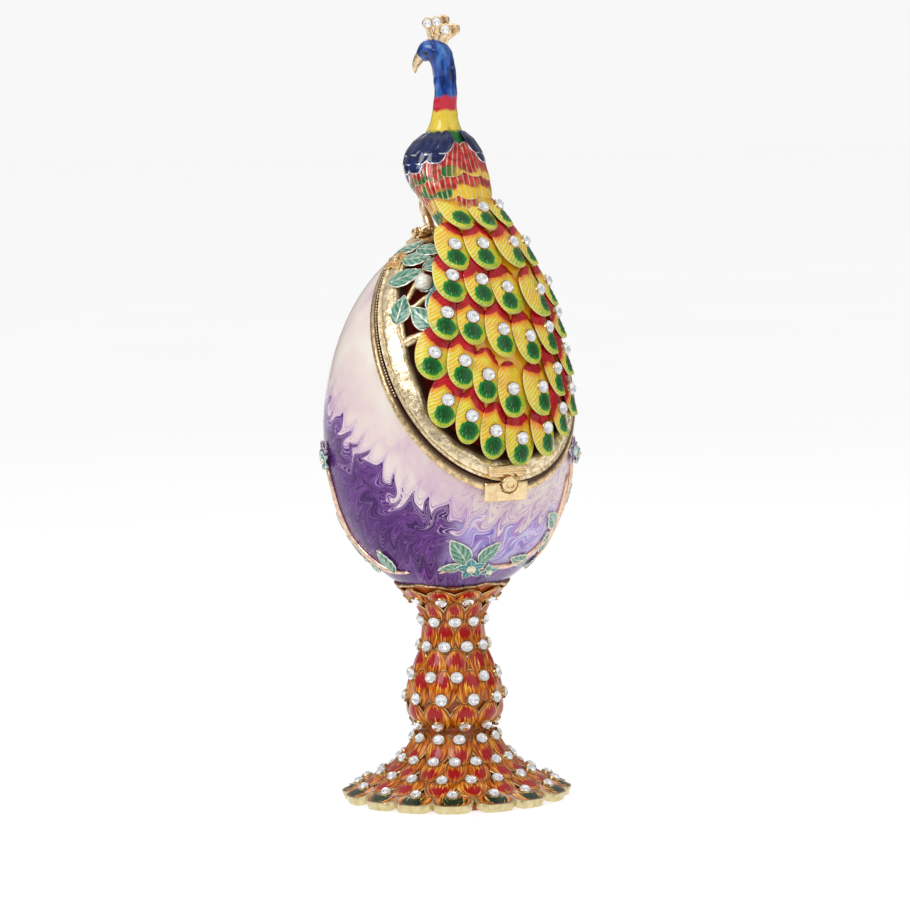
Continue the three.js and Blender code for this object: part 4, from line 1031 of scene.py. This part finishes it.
# Rows of plumes from the top: the lowest one's height over the egg's rise, its place across, how far
# off the row has risen in full, how much, and the places of its stones over the tail's half width
TIERS = [
    (1.154, 0.08, 1.0, 0.05, (-0.2, 0.08, 0.36)),
    (0.972, 0.08, 1.0, 0.0, (-0.395, -0.105, 0.3, 0.56)),
    (0.717, 0.36, 0.91, 0.1, (-0.52, -0.24, 0.02, 0.5, 0.78)),
    (0.492, 0.19, 0.864, 0.138, (-0.664, -0.427, -0.136, 0.173, 0.49, 0.78)),
    (0.209, 0.055, 0.918, 0.221, (-0.864, -0.586, -0.377, -0.132, 0.236, 0.505, 0.777)),
    (-0.024, -0.036, 1.227, 0.309, (-0.8, -0.582, -0.35, -0.064, 0.264, 0.523, 0.764)),
]


def to_world(x, h, z):
    """From the bird's own x, h (towards its tail's side) and z to the frame."""
    c, s = math.cos(BIRD_TURN), math.sin(BIRD_TURN)
    return np.stack(np.broadcast_arrays(c * x + s * h, s * x - c * h, z), -1)


def tail_centre(v):
    reach = np.where(v > 0, 0.936 * EGG_RISE + TAIL_STANDOFF * v, EGG_DROP + TAIL_LIFT)
    return (EGG_RADIUS + TAIL_LIFT) * np.sqrt(np.maximum(1e-4, 1 - (v / reach) ** 2))


def tail_slope(v):
    return np.arctan((tail_centre(v - 0.05) - tail_centre(v + 0.05)) / 0.1)


def on_tail(u, v, offset):
    """A place on the tail: u across it, v over the egg's centre, offset outwards, all in mm."""
    centre = tail_centre(v)
    slope = tail_slope(v)
    bend = centre + 0.07 * np.maximum(0, v)
    angle = u / bend
    reach = bend + offset * np.cos(slope)
    return to_world(reach * np.sin(angle), centre - bend + reach * np.cos(angle),
                    EGG_CENTRE + v + offset * np.sin(slope))


def tier_height(tier, share):
    low, at, half, rise, _ = tier
    swing = min(1, abs(share - at) / half)
    return EGG_RISE * (low + rise / 2 * (1 - math.cos(math.pi * swing)))


def plume_shape(t):
    return np.clip(1 - np.abs(2 * t - 1) ** 2.25, 0, 1) ** 0.5


def plume_relief(u, t):
    barbs = 0.07 * np.cos(2 * math.pi * (9.5 * t - 2.2 * np.abs(u + 0.15) ** 0.8))
    rim = 0.12 * np.exp(-((np.abs(u) - 0.93) / 0.06) ** 2)
    return 0.85 * (1 - u**2) + barbs * (1 - u**8) + rim


plume_list = []
for number, tier in enumerate(TIERS):
    row = tier[4]
    for i, share in enumerate(row):
        before = share - row[i - 1] if i else 0.31
        after = row[i + 1] - share if i + 1 < len(row) else 0.31
        left, right = [max(3.3, 0.59 * gap * TAIL_HALF_WIDTH + 0.2) for gap in (before, after)]
        plume_list.append((number, i, share * TAIL_HALF_WIDTH, tier_height(tier, share), left, right))

tail, tail_stones = Casting(), Casting()


def along_plume(x, y, u, v):
    """A plume's own x and y (towards its tip) on the tail."""
    angle = FAN * u
    across = x * math.cos(angle) + y * math.sin(angle)
    up = x * math.sin(angle) - y * math.cos(angle)
    return u + across, v + up * math.cos(tail_slope(v))


def past_plume(across, up, plume):
    """How far in mm a place on the tail lies past the border of a plume."""
    _, _, u, v, left, right = plume
    du, dv = across - u, (up - v) / math.cos(tail_slope(v))
    angle = FAN * u
    x, y = du * math.cos(angle) + dv * math.sin(angle), du * math.sin(angle) - dv * math.cos(angle)
    half = np.where(x < 0, left, right)
    return (((x / half) ** 2 + np.abs(y / (PLUME_LENGTH / 2)) ** 2.3) ** 0.5 - 1) * 5.0


for number, i, u, v, left, right in plume_list:
    seed = (number * 0.37 + i * 0.618) % 1
    half = (left + right) / 2
    x, y, z, place, edge = scale_form(half, PLUME_LENGTH, 0.9, 44, 31, plume_shape, plume_relief, seed)
    x = x * np.where(x < 0, left, right) / half
    y = y - PLUME_LENGTH / 2
    across, up = along_plume(x, y, u, v)
    points = on_tail(across, up, z + PLUME_PITCH * y - PLUME_ROLL * x - PLUME_SINK)
    over = y + 3.4 + 0.12 * x**2 if number == 0 else np.full(x.shape, 9.0)
    for plume in plume_list:
        if plume[0] == number - 1:
            over = np.minimum(over, past_plume(across, up, plume))
    place = np.stack([x, y, np.where(over < 8, over, 9.0)], -1)
    tail.closed(points, place, edge)
    if (number, i) != (0, 0):
        def at(x, y, z, u=u, v=v):
            return on_tail(*along_plume(x, y, u, v), 0.5 + z)

        ring_skin(tail, at, STONE_RADIUS * 1.08, 0.3, 0.16, 1)
        stone_skin(tail_stones, at, STONE_RADIUS * 1.08, STONE_RISE + 0.1, turn=u)

sheet_rows = []
xs = np.linspace(-1, 1, 24)
both_sides = np.concatenate([xs, xs[::-1]])
for t in np.linspace(0, 1, 50):
    half = TAIL_HALF_WIDTH * (0.3 + 0.62 * math.sin(math.pi / 2 * min(1, t * 1.25)))
    height = EGG_RISE * (1.21 - 1.27 * t + 0.42 * t**3 * both_sides**2)
    sheet_rows.append(on_tail(both_sides * half, height, np.repeat([-0.9, -1.8], 24)))
tail.skin(np.stack(sheet_rows), (0, 0, 0), np.repeat([1.0, 0.0], 24), 2, around=True)

EYE_AT, EYE_RADIUS = 3.2, 2.15
plume_enamel, b, shader = new_material("plume_enamel", Specular_IOR_Level=0.2, Coat_Weight=0.35,
                                       Coat_Roughness=0.05, IOR=1.52)
x, y, over = b.corner()
edge = b.edge()
at = b.place()
cloud = b.noise(at, 0.35, 3.0, 0.5)
left = b.step(x, -3.6, 1.0, 1.0, 0.0)
spread = b.math("POWER", b.absolute(b.plus(x, 0.5)), 0.8)
slant = b.plus(b.plus(y, b.times(spread, -1.25)), b.times(cloud, 1.6))
barbs = b.wave(slant, 0.98)
yellow = b.mix(b.step(cloud, 0.35, 0.65), (0.86, 0.48, 0.008), (0.78, 0.66, 0.012))
lime = b.mix(b.step(cloud, 0.35, 0.65), (0.34, 0.50, 0.010), (0.62, 0.62, 0.014))
colour = b.mix(b.step(b.minus(y, b.times(x, -0.4)), 0.6, 3.6), yellow, lime)
amber_side = b.times(b.step(x, 1.4, 3.6), b.step(y, -3.0, 1.5, 1.0, 0.3))
colour = b.mix(b.times(amber_side, 0.6), colour, (0.90, 0.42, 0.02))
pale = b.times(b.math("MULTIPLY_ADD", left, 0.34, 0.08), b.step(barbs, 0.45, 0.85))
colour = b.mix(pale, colour, (0.98, 0.90, 0.58))
dark_barb = b.times(b.step(barbs, 0.0, 0.22, 1.0, 0.0), 0.2)
colour = b.mix(dark_barb, colour, (0.62, 0.34, 0.02))
eye_x, eye_y = [b.math("DIVIDE", side, EYE_RADIUS) for side in (x, b.minus(y, EYE_AT))]
hair = b.noise(b.vector(b.times(x, 3.2), b.times(y, 0.55), 0.0), 1.0, 2.0)
eye = b.plus(b.oval(eye_x, eye_y), b.swing(hair, 1.1))
in_eye = b.step(eye, 0.80, 1.12, 1.0, 0.0)
green = b.mix(b.step(eye, 0.1, 1.0), (0.0, 0.075, 0.010), (0.001, 0.25, 0.025))
streak = b.times(b.step(hair, 0.56, 0.68), b.step(eye_y, -0.2, 0.9, 0.0, 1.0))
green = b.mix(b.times(streak, 0.7), green, (0.66, 0.76, 0.26))
colour = b.mix(in_eye, colour, green)
tip = b.step(edge, 0.12, 0.42, 1.0, 0.0)
colour = b.mix(b.times(tip, 0.7), colour, (0.80, 0.72, 0.28))
band = b.plus(over, b.swing(cloud, 1.4))
colour = b.mix(b.step(band, 1.9, 3.3, 0.85, 0.0), colour, (0.85, 0.20, 0.006))
red = b.mix(b.step(b.noise(at, 0.3, 2.0), 0.35, 0.7), (0.34, 0.0, 0.004), (0.56, 0.004, 0.014))
colour = b.mix(b.step(band, 1.6, 2.05, 1.0, 0.0), colour, red)
wire(b, shader, colour, b.step(cloud, 0.3, 0.7, 0.10, 0.2), height=barbs, depth=0.10, strength=0.6)
sheet_enamel, b, shader = new_material("tail_ground", Coat_Weight=0.6, Coat_Roughness=0.1)
given = use_group(b, gilt_group, Place=b.place(), Light=(0.80, 0.56, 0.28, 1), Dark=(0.28, 0.12, 0.05, 1),
                  Pit_Size=1.4, Wear=0.8)
front = b.edge()
wire(b, shader, b.mix(front, given["Color"], (0.80, 0.40, 0.01)), given["Roughness"],
     b.step(front, 0.0, 1.0, 1.0, 0.1), given["Height"], 0.15)
tail.build("peacock_tail", [plume_enamel, collar_gilt_and_gap_shade, sheet_enamel], "lid", "bird_enamel", "peacock")
tail_nodes = [f"tail_crystal_{i:02d}" for i in range(1, 32)]
tail_stones.build("tail_stones", [crystal, glowing_foil], "lid", "crystal", *tail_nodes, sharp=0)

# The peacock's body: cast in one with the tail. Blue head and neck, red and yellow throat, navy
# wings with silver lips to their scales, and three rows of fluted red and yellow feathers on its back.

# Stations of the trunk: h towards the tail, z over the egg's top, half width and half depth
TRUNK = [
    (8.6, 0.6, 3.6, 1.6), (8.2, 2.2, 4.9, 3.0), (6.9, 5.0, 6.1, 4.8), (5.0, 8.5, 7.2, 6.2),
    (3.0, 12.0, 8.2, 6.8), (1.2, 15.5, 8.5, 6.8), (0.6, 19.0, 7.7, 6.2), (0.9, 22.0, 5.6, 4.9),
    (1.1, 24.6, 3.6, 3.5), (1.1, 27.2, 2.9, 2.9),
]
TRUNK_RADIUS = 8.6
# The head looks round: shares of its way across the bird and ahead of it, and where the neck stands
LOOK_SIDE, LOOK_AHEAD, NECK_FOOT = 0.636, 0.772, 1.5
trunk_line = smooth(TRUNK, 200)


def in_bird(x, h, z):
    """The bird's own x, h (towards its tail's side) and z over the egg's top."""
    return to_world(x, h, EGG_TOP + z)


def on_trunk(angle, z, offset):
    """A place on the trunk: angle from the middle of its back, z over the egg's top."""
    h, wide, deep = [np.interp(z, trunk_line[:, 1], trunk_line[:, k]) for k in (0, 2, 3)]
    return in_bird((wide + offset) * np.sin(angle), h + (deep + offset) * np.cos(angle), z)


def loft_skin(casting, stations, side, sides, rows, finish, swell=0.0, seed=0.0):
    """A rounded form through stations of (point, half width along side, half depth)."""
    line = smooth([[*p, wide, deep] for p, wide, deep in stations], rows)
    way = np.gradient(line[:, :3], axis=0)
    way /= np.linalg.norm(way, axis=1)[:, None]
    across = side - (way @ side)[:, None] * way
    across /= np.linalg.norm(across, axis=1)[:, None]
    front = np.cross(way, across)
    turn = circle(sides)[None, :, None]
    wide, deep = line[:, 3, None, None], line[:, 4, None, None]
    wide[[0, -1]] = deep[[0, -1]] = 0
    grid = line[:, None, :3] + wide * np.cos(turn) * across[:, None] + deep * np.sin(turn) * front[:, None]
    if swell:
        out = np.cos(turn) * across[:, None] + np.sin(turn) * front[:, None]
        grid[1:-1] += (swell * lumps(grid, 1.4, seed))[1:-1, :, None] * out[1:-1]
    c, s = math.cos(BIRD_TURN), math.sin(BIRD_TURN)
    sideways, forward = c * grid[..., 0] + s * grid[..., 1], s * grid[..., 0] - c * grid[..., 1]
    round_it = np.abs(np.arctan2(sideways, forward - NECK_FOOT))
    along = np.linspace(0, 1, rows)[:, None]
    place = np.stack(np.broadcast_arrays(grid[..., 2] - EGG_TOP, along, round_it), -1)
    casting.closed(grid, place, 5.0, finish)


def by_head(t, side, z):
    """A place t mm ahead of the neck's foot, the way the bird looks, and side mm beside it."""
    return in_bird(-LOOK_SIDE * t - LOOK_AHEAD * side, NECK_FOOT - LOOK_AHEAD * t + LOOK_SIDE * side, z)


bird = Casting()
trunk = [(in_bird(0.0, h, z), wide, deep) for h, z, wide, deep in TRUNK]
loft_skin(bird, trunk, to_world(1.0, 0.0, 0.0), 40, 60, 0, 0.12, 2)
head_side = to_world(LOOK_AHEAD, -LOOK_SIDE, 0.0)
neck = [(in_bird(0.0, h, z), half, half) for h, z, half in
        [(1.1, 24.5, 3.5), (1.1, 26.0, 3.1), (1.4, 29.0, 2.7), (1.9, 32.6, 2.5)]]
neck += [(by_head(t, 0.0, z), wide, deep) for t, z, wide, deep in
         [(0, 36.4, 2.5, 2.55), (0.4, 39.0, 2.6, 2.7), (1.5, 41.2, 2.8, 2.8), (3.2, 41.7, 2.6, 2.6),
          (4.7, 40.7, 1.85, 1.9), (5.3, 40.0, 1.1, 1.2)]]
loft_skin(bird, neck, head_side, 32, 90, 0, 0.14, 6)
beak = [(by_head(t, 0.0, z), wide, deep) for t, z, wide, deep in
        [(4.3, 41.3, 1.4, 1.45), (5.3, 40.4, 1.35, 1.35), (6.1, 39.3, 1.1, 1.1),
         (6.6, 38.2, 0.75, 0.75), (6.7, 37.2, 0.4, 0.4), (6.6, 36.7, 0.1, 0.1)]]
loft_skin(bird, beak, head_side, 16, 24, 1)
look = by_head(1, 0.0, 0) - by_head(0, 0.0, 0)
for hand in (-1, 1):
    eye_at = by_head(3.5, 0.0, 41.1) + hand * 2.25 * head_side
    ball_skin(bird, eye_at, (0.62 * look, (0, 0, 0.5), 0.35 * head_side), 4, 10, 14)

# Crest: five gilt lobes on thin stems, a stone in each. Each is ahead, beside and over the egg's top
CREST = [(3.3, 0.5, 47.7), (1.1, 0.7, 47.9), (-0.8, 0.7, 46.2), (0.2, -1.1, 48.2), (-2.2, -0.9, 46.2)]
CREST_LOBE = [(0.0, 0.55), (0.6, 0.6), (0.8, 0.7), (0.93, 0.62), (1.0, 0.3), (1.0, -0.3), (0.93, -0.62),
              (0.8, -0.7), (0.6, -0.6), (0.0, -0.55)]
crest_stones = Casting()
for k, lobe in enumerate(CREST):
    def at(x, y, z, lobe=lobe):
        return by_head(lobe[0] + x, lobe[1] + z, lobe[2] + y)

    def on_lobe(x, y, z, at=at, way=1 if lobe[1] > 0 else -1):
        return at(0.78 * x, 0.78 * y, way * (0.72 + 0.62 * z))

    a = circle(26)
    wavy = 1.35 * (1 + 0.05 * np.cos(5 * a))
    bird.closed(np.stack([at(r * np.cos(a) * wavy, r * np.sin(a) * wavy, depth) for r, depth in CREST_LOBE]),
                edge=0.0, finish=1)
    stem = [by_head(1.1 + 0.3 * lobe[0], 0.4 * lobe[1], 42.2),
            by_head(0.8 + 0.55 * lobe[0], 0.6 * lobe[1], 44.2), at(0.0, -0.6, 0.0)]
    tube_skin(bird, smooth(stem, 20), 0.85, 1, seed=k, taper=0.9)
    ring_skin(bird, on_lobe, 1.2, 0.3, 0.2, 1)
    stone_skin(crest_stones, on_lobe, 1.2, STONE_RISE, turn=k)

# Wings: navy, folded over the shoulders, laid with rounded scales whose lower lips are silver


def feather_relief(u, t):
    rim = 0.1 * np.exp(-((np.abs(u) - 0.9) / 0.08) ** 2)
    return 0.35 * (1 - u**2) + 0.3 * t - 0.8 * np.clip(1 - 3 * t, 0, 1) + rim


def lay_on_trunk(x, y, z, angle, top, lean=0.0):
    """A feather on the trunk: its root at an angle (degrees) and height, its tip below, leaning outwards."""
    round_at = math.radians(angle) + (x + lean * y) / TRUNK_RADIUS
    return on_trunk(round_at, top - y, z)


def rounded(t):
    return np.sqrt(np.clip(1 - (2 * t - 1) ** 2, 0, 1))


for hand in (-1, 1):
    for level in range(4, -1, -1):
        for i in range(5):
            angle = 29 + 24 * i + 12 * (level % 2)
            top = 24.2 - 2.0 * level - 0.006 * angle
            lowest = 21.6 - 0.075 * angle
            if top - 2.9 < lowest or angle > 126:
                continue
            seed = (level * 0.37 + i * 0.61) % 1
            x, y, z, place, edge = scale_form(2.8, 5.4, 0.9, 20, 21, rounded, feather_relief, seed)
            swell = 0.5 + 0.4 * math.sin(math.radians(min(angle, 90)))
            points = lay_on_trunk(x, y, z + swell, hand * angle, top, hand * 0.14)
            bird.closed(points, place, edge, 2)


# Capes: rows of fluted feathers down the back, red at the root, then yellow, green at the left tips
def cape_relief(u, t):
    flutes = 0.13 * np.cos(2 * math.pi * 3.5 * u) * np.clip(1.3 - t, 0, 1) * np.clip(t * 6, 0, 1)
    return 0.45 * (1 - u**2) + 0.45 * t + flutes + 0.12 * np.exp(-((np.abs(u) - 0.93) / 0.06) ** 2)


# Rows: height over the egg's top, fall per degree, length, half width, step and reach in degrees, lift
CAPES = [(12.8, 0.0, 9.0, 4.4, 38, 95, 0.1), (17.4, 0.02, 8.8, 4.4, 34, 102, 0.3),
         (22.2, 0.05, 8.2, 4.0, 30, 105, 0.45)]
for kind, (top, fall, length, half, step, reach, lift) in enumerate(CAPES):
    for angle in np.arange(-reach, reach + 1, step):
        seed = (kind * 0.37 + angle * 0.0161) % 1
        x, y, z, place, edge = scale_form(half, length, 0.6, 34, 33, plume_shape, cape_relief, seed)
        y = y * (1 - (0.0028 if kind else -0.001) * abs(angle))
        points = lay_on_trunk(x, y, z + lift, angle, top - fall * abs(angle), 0.1 * np.sign(angle) - 0.12)
        place = np.stack([math.radians(angle) + x / TRUNK_RADIUS, y / length, x / half + 4.0 * kind], -1)
        bird.closed(points, place, edge, 3)

# Legs and feet, gilt, standing on the band
for hand in (-1, 1):
    leg = [(3.6, -3.0, 12.0), (3.4, -2.6, 7.0), (3.1, -1.2, 3.0), (3.1, -0.6, 2.2)]
    leg = smooth([in_bird(hand * x, h, z) for x, h, z in leg], 30)
    tube_skin(bird, leg, 1.1, 1, sides=14, seed=2 + hand, taper=1.0)
    for toe in (-0.9, 0.0, 0.9):
        root = np.array([hand * 3.1, -0.4, 2.4])
        tip = np.array([root[0] + 2.4 * math.sin(toe), root[1] - 2.6 * math.cos(toe), 1.5])
        middle = np.array([*((root + tip) / 2)[:2], 2.6])
        claw = smooth([in_bird(*spot) for spot in (root, middle, tip)], 14)
        tube_skin(bird, claw, 0.6, 1, sides=8, seed=toe, taper=0.6)

neck_enamel, b, shader = enamel("neck_enamel", 0.06)
height, run, round_it = b.corner()
at = b.place()
long_way = b.node("ShaderNodeVectorMath", {0: at, 1: (1.0, 1.0, 0.3)}, operation="MULTIPLY").outputs[0]
mottle = b.noise(long_way, 0.55, 3.0, 0.5)
blue = b.ramp(mottle, (0.34, (0.003, 0.010, 0.075)), (0.50, (0.010, 0.055, 0.30)), (0.66, (0.06, 0.20, 0.52)))
shift = b.plus(height, b.swing(mottle, 2.4))
yellow = b.mix(mottle, (0.66, 0.42, 0.01), (0.90, 0.74, 0.10))
colour = b.mix(b.step(shift, 23.2, 24.4), (0.01, 0.14, 0.02), yellow)
colour = b.mix(b.step(shift, 28.0, 28.9), colour, (0.55, 0.008, 0.03))
colour = b.mix(b.step(shift, 31.0, 31.9), colour, blue)
shoulder = b.times(b.step(shift, 22.6, 23.6, 1.0, 0.0), b.step(round_it, 0.40, 0.55))
shoulder = b.times(shoulder, b.step(shift, 11.0, 13.0))
colour = b.mix(b.step(shift, 18.5, 20.0, 1.0, 0.0), colour, (0.55, 0.20, 0.02))
colour = b.mix(shoulder, colour, b.mix(mottle, (0.002, 0.005, 0.04), (0.02, 0.06, 0.22)))
scallop = b.plus(height, b.times(b.wave(round_it, 0.36), 0.8))
scallop = b.times(b.step(b.wave(scallop, 1.8), 0.86, 0.97), b.step(shift, 20.5, 22.5, 0.6, 0.0))
colour = b.mix(scallop, colour, b.mix(b.step(shift, 11.0, 13.0), (0.92, 0.66, 0.22), (0.16, 0.30, 0.62)))
wire(b, shader, colour, b.step(mottle, 0.3, 0.7, 0.12, 0.3), height=b.plus(mottle, scallop), depth=0.16)
bird_gilt = gilt("gilt_bird", (0.95, 0.76, 0.50), (0.40, 0.22, 0.09), 1.0, 0.5, 0.1)

wing_enamel, b, shader = enamel("navy_scale_enamel", 0.05)
across, along, seed = b.corner()
edge = b.edge()
cloud = b.noise(b.place(), 0.7, 3.0)
navy = b.mix(b.step(cloud, 0.35, 0.7), (0.002, 0.004, 0.035), (0.008, 0.025, 0.13))
lip = b.times(b.step(edge, 0.16, 0.52, 1.0, 0.0), b.step(along, 0.5, 0.7))
lip = b.times(lip, b.step(cloud, 0.30, 0.42, 0.5, 1.0))
wire(b, shader, b.mix(lip, navy, (0.88, 0.90, 0.95)), b.step(lip, 0, 1, 0.12, 0.2),
     b.times(lip, 0.8), cloud, 0.08)

cape_enamel, b, shader = enamel("cape_enamel", 0.06)
angle, along, across = b.corner()
edge = b.edge()
at = b.place()
cloud = b.noise(at, 0.5, 3.0, 0.4)
flutes = b.wave(across, 2 / 7)
red = b.mix(b.step(cloud, 0.35, 0.65), (0.30, 0.002, 0.004), (0.60, 0.04, 0.02))
shifted = b.plus(along, b.times(b.minus(b.noise(at, 0.30, 2.0), 0.5), 0.9))
amount = b.plus(shifted, b.step(angle, -0.5, 0.5, -0.06, 0.06))
row = b.step(across, 2.0, 6.5, -0.12, 0.16)
yellow = b.mix(cloud, (0.86, 0.40, 0.01), (0.82, 0.66, 0.02))
colour = b.mix(b.step(b.minus(amount, row), 0.52, 0.74), red, yellow)
tips = b.times(b.step(shifted, 0.62, 0.74), b.step(angle, -0.40, 0.1, 1.0, 0.0))
tips = b.times(tips, b.step(b.noise(at, 0.22, 1.0), 0.34, 0.42))
colour = b.mix(tips, colour, (0.006, 0.13, 0.012))
ridge = b.times(b.step(flutes, 0.74, 0.96), b.step(cloud, 0.35, 0.6, 0.3, 1.0))
colour = b.mix(b.times(ridge, 0.6), colour, (0.94, 0.80, 0.58))
colour = b.mix(b.step(edge, 0.10, 0.34, 0.8, 0.0), colour, (0.93, 0.80, 0.50))
wire(b, shader, colour, b.step(ridge, 0, 1, 0.12, 0.25), b.times(ridge, 0.4), flutes, 0.1, 0.5)

dark_glass, b, shader = enamel("dark_eye_enamel", 0.03)
tiny = b.noise(b.place(), 4.0)
wire(b, shader, b.mix(tiny, (0.004, 0.004, 0.008), (0.02, 0.02, 0.03)), b.step(tiny, 0.3, 0.7, 0.08, 0.15))
bird.build("peacock_body", [neck_enamel, bird_gilt, wing_enamel, cape_enamel, dark_glass], "lid",
           "bird_enamel", "peacock")
crest_stones.build("crest_stones", [crystal, glowing_foil], "lid", "crystal",
                   *[f"crest_crystal_{i}" for i in range(1, 6)], sharp=0)

# The room: a pale floor that the foot stands on, four soft studio lights, and the camera in front of
# the egg and a little to its left. It is no part of the object.

floor_material, b, shader = new_material("pale_floor", Emission_Color=(1, 1, 1, 1), Coat_Weight=0.15,
                                         Coat_Roughness=0.1, Emission_Strength=0.885)
pale = b.mix(b.noise(b.place(), 0.004), (0.15, 0.15, 0.15), (0.19, 0.19, 0.19))
wire(b, shader, pale, b.step(b.noise(b.place(), 0.01), 0.3, 0.7, 0.5, 0.6))
bpy.ops.mesh.primitive_plane_add(size=80.0, location=(0, 0, -0.0001))
floor = bpy.context.object
floor.name = "floor"
floor.data.materials.append(floor_material)

CAMERA_AZIMUTH, CAMERA_RISE, CAMERA_ROLL = math.radians(-30), math.radians(4.8), math.radians(-1.3)
CAMERA_FAR, AIM_HEIGHT, AIM_SIDE = 900.0, 76.3, 1.3
SENSOR, VIEW_HEIGHT = 36.0, 205.0924


def away(azimuth, rise):
    """The way out from the object at an azimuth from its front and an angle over the floor."""
    return Vector((math.sin(azimuth) * math.cos(rise), -math.cos(azimuth) * math.cos(rise), math.sin(rise)))


back = away(CAMERA_AZIMUTH, CAMERA_RISE)
right = Vector((math.cos(CAMERA_AZIMUTH), math.sin(CAMERA_AZIMUTH), 0))
above_axis = back.cross(right)
rolled_right = right * math.cos(CAMERA_ROLL) + above_axis * math.sin(CAMERA_ROLL)
rolled_up = -right * math.sin(CAMERA_ROLL) + above_axis * math.cos(CAMERA_ROLL)
place = (Vector((0, 0, AIM_HEIGHT)) + right * AIM_SIDE + back * CAMERA_FAR) * MM
lens = bpy.data.cameras.new("camera")
lens.sensor_width = SENSOR
lens.lens = SENSOR * CAMERA_FAR / VIEW_HEIGHT
lens.clip_start, lens.clip_end = 0.05, 20
camera = bpy.data.objects.new("camera", lens)
camera.matrix_world = Matrix((
    (rolled_right.x, rolled_up.x, back.x, place.x),
    (rolled_right.y, rolled_up.y, back.y, place.y),
    (rolled_right.z, rolled_up.z, back.z, place.z),
    (0, 0, 0, 1),
))
bpy.context.scene.collection.objects.link(camera)
bpy.context.scene.camera = camera


def softbox(name, azimuth, rise, distance, size, power):
    """A square soft light aimed at the middle of the object."""
    light = bpy.data.lights.new(name, "AREA")
    light.shape, light.size, light.energy = "SQUARE", size, power
    lamp = bpy.data.objects.new(name, light)
    way = away(math.radians(azimuth), math.radians(rise))
    lamp.location = Vector((0, 0, 0.09)) + way * distance
    lamp.rotation_mode = "QUATERNION"
    lamp.rotation_quaternion = way.to_track_quat("Z", "Y")
    bpy.context.scene.collection.objects.link(lamp)


softbox("key_light", -75, 38, 0.8, 0.35, 2.5)
softbox("fill_light", 25, 22, 0.9, 0.5, 0.9)
softbox("top_light", -20, 80, 0.8, 0.6, 0.6)
softbox("back_light", 150, 35, 0.9, 0.5, 1.1)

world = bpy.data.worlds.new("studio")
world.use_nodes = True
bench = Bench(world.node_tree)
background = world.node_tree.nodes["Background"]
background.inputs["Color"].default_value = (1, 1, 1, 1)
seen = bench.node("ShaderNodeLightPath").outputs["Is Camera Ray"]
upward = bench.parts(bench.node("ShaderNodeTexCoord").outputs["Generated"])[2]
room_light = bench.step(upward, -0.2, 0.95, 0.10, 0.68)
strength = bench.node("ShaderNodeMix", {0: seen, 2: room_light, 3: 0.94}).outputs[0]
world.node_tree.links.new(strength, background.inputs["Strength"])
bpy.context.scene.world = world
bpy.context.scene.view_settings.view_transform = "Standard"
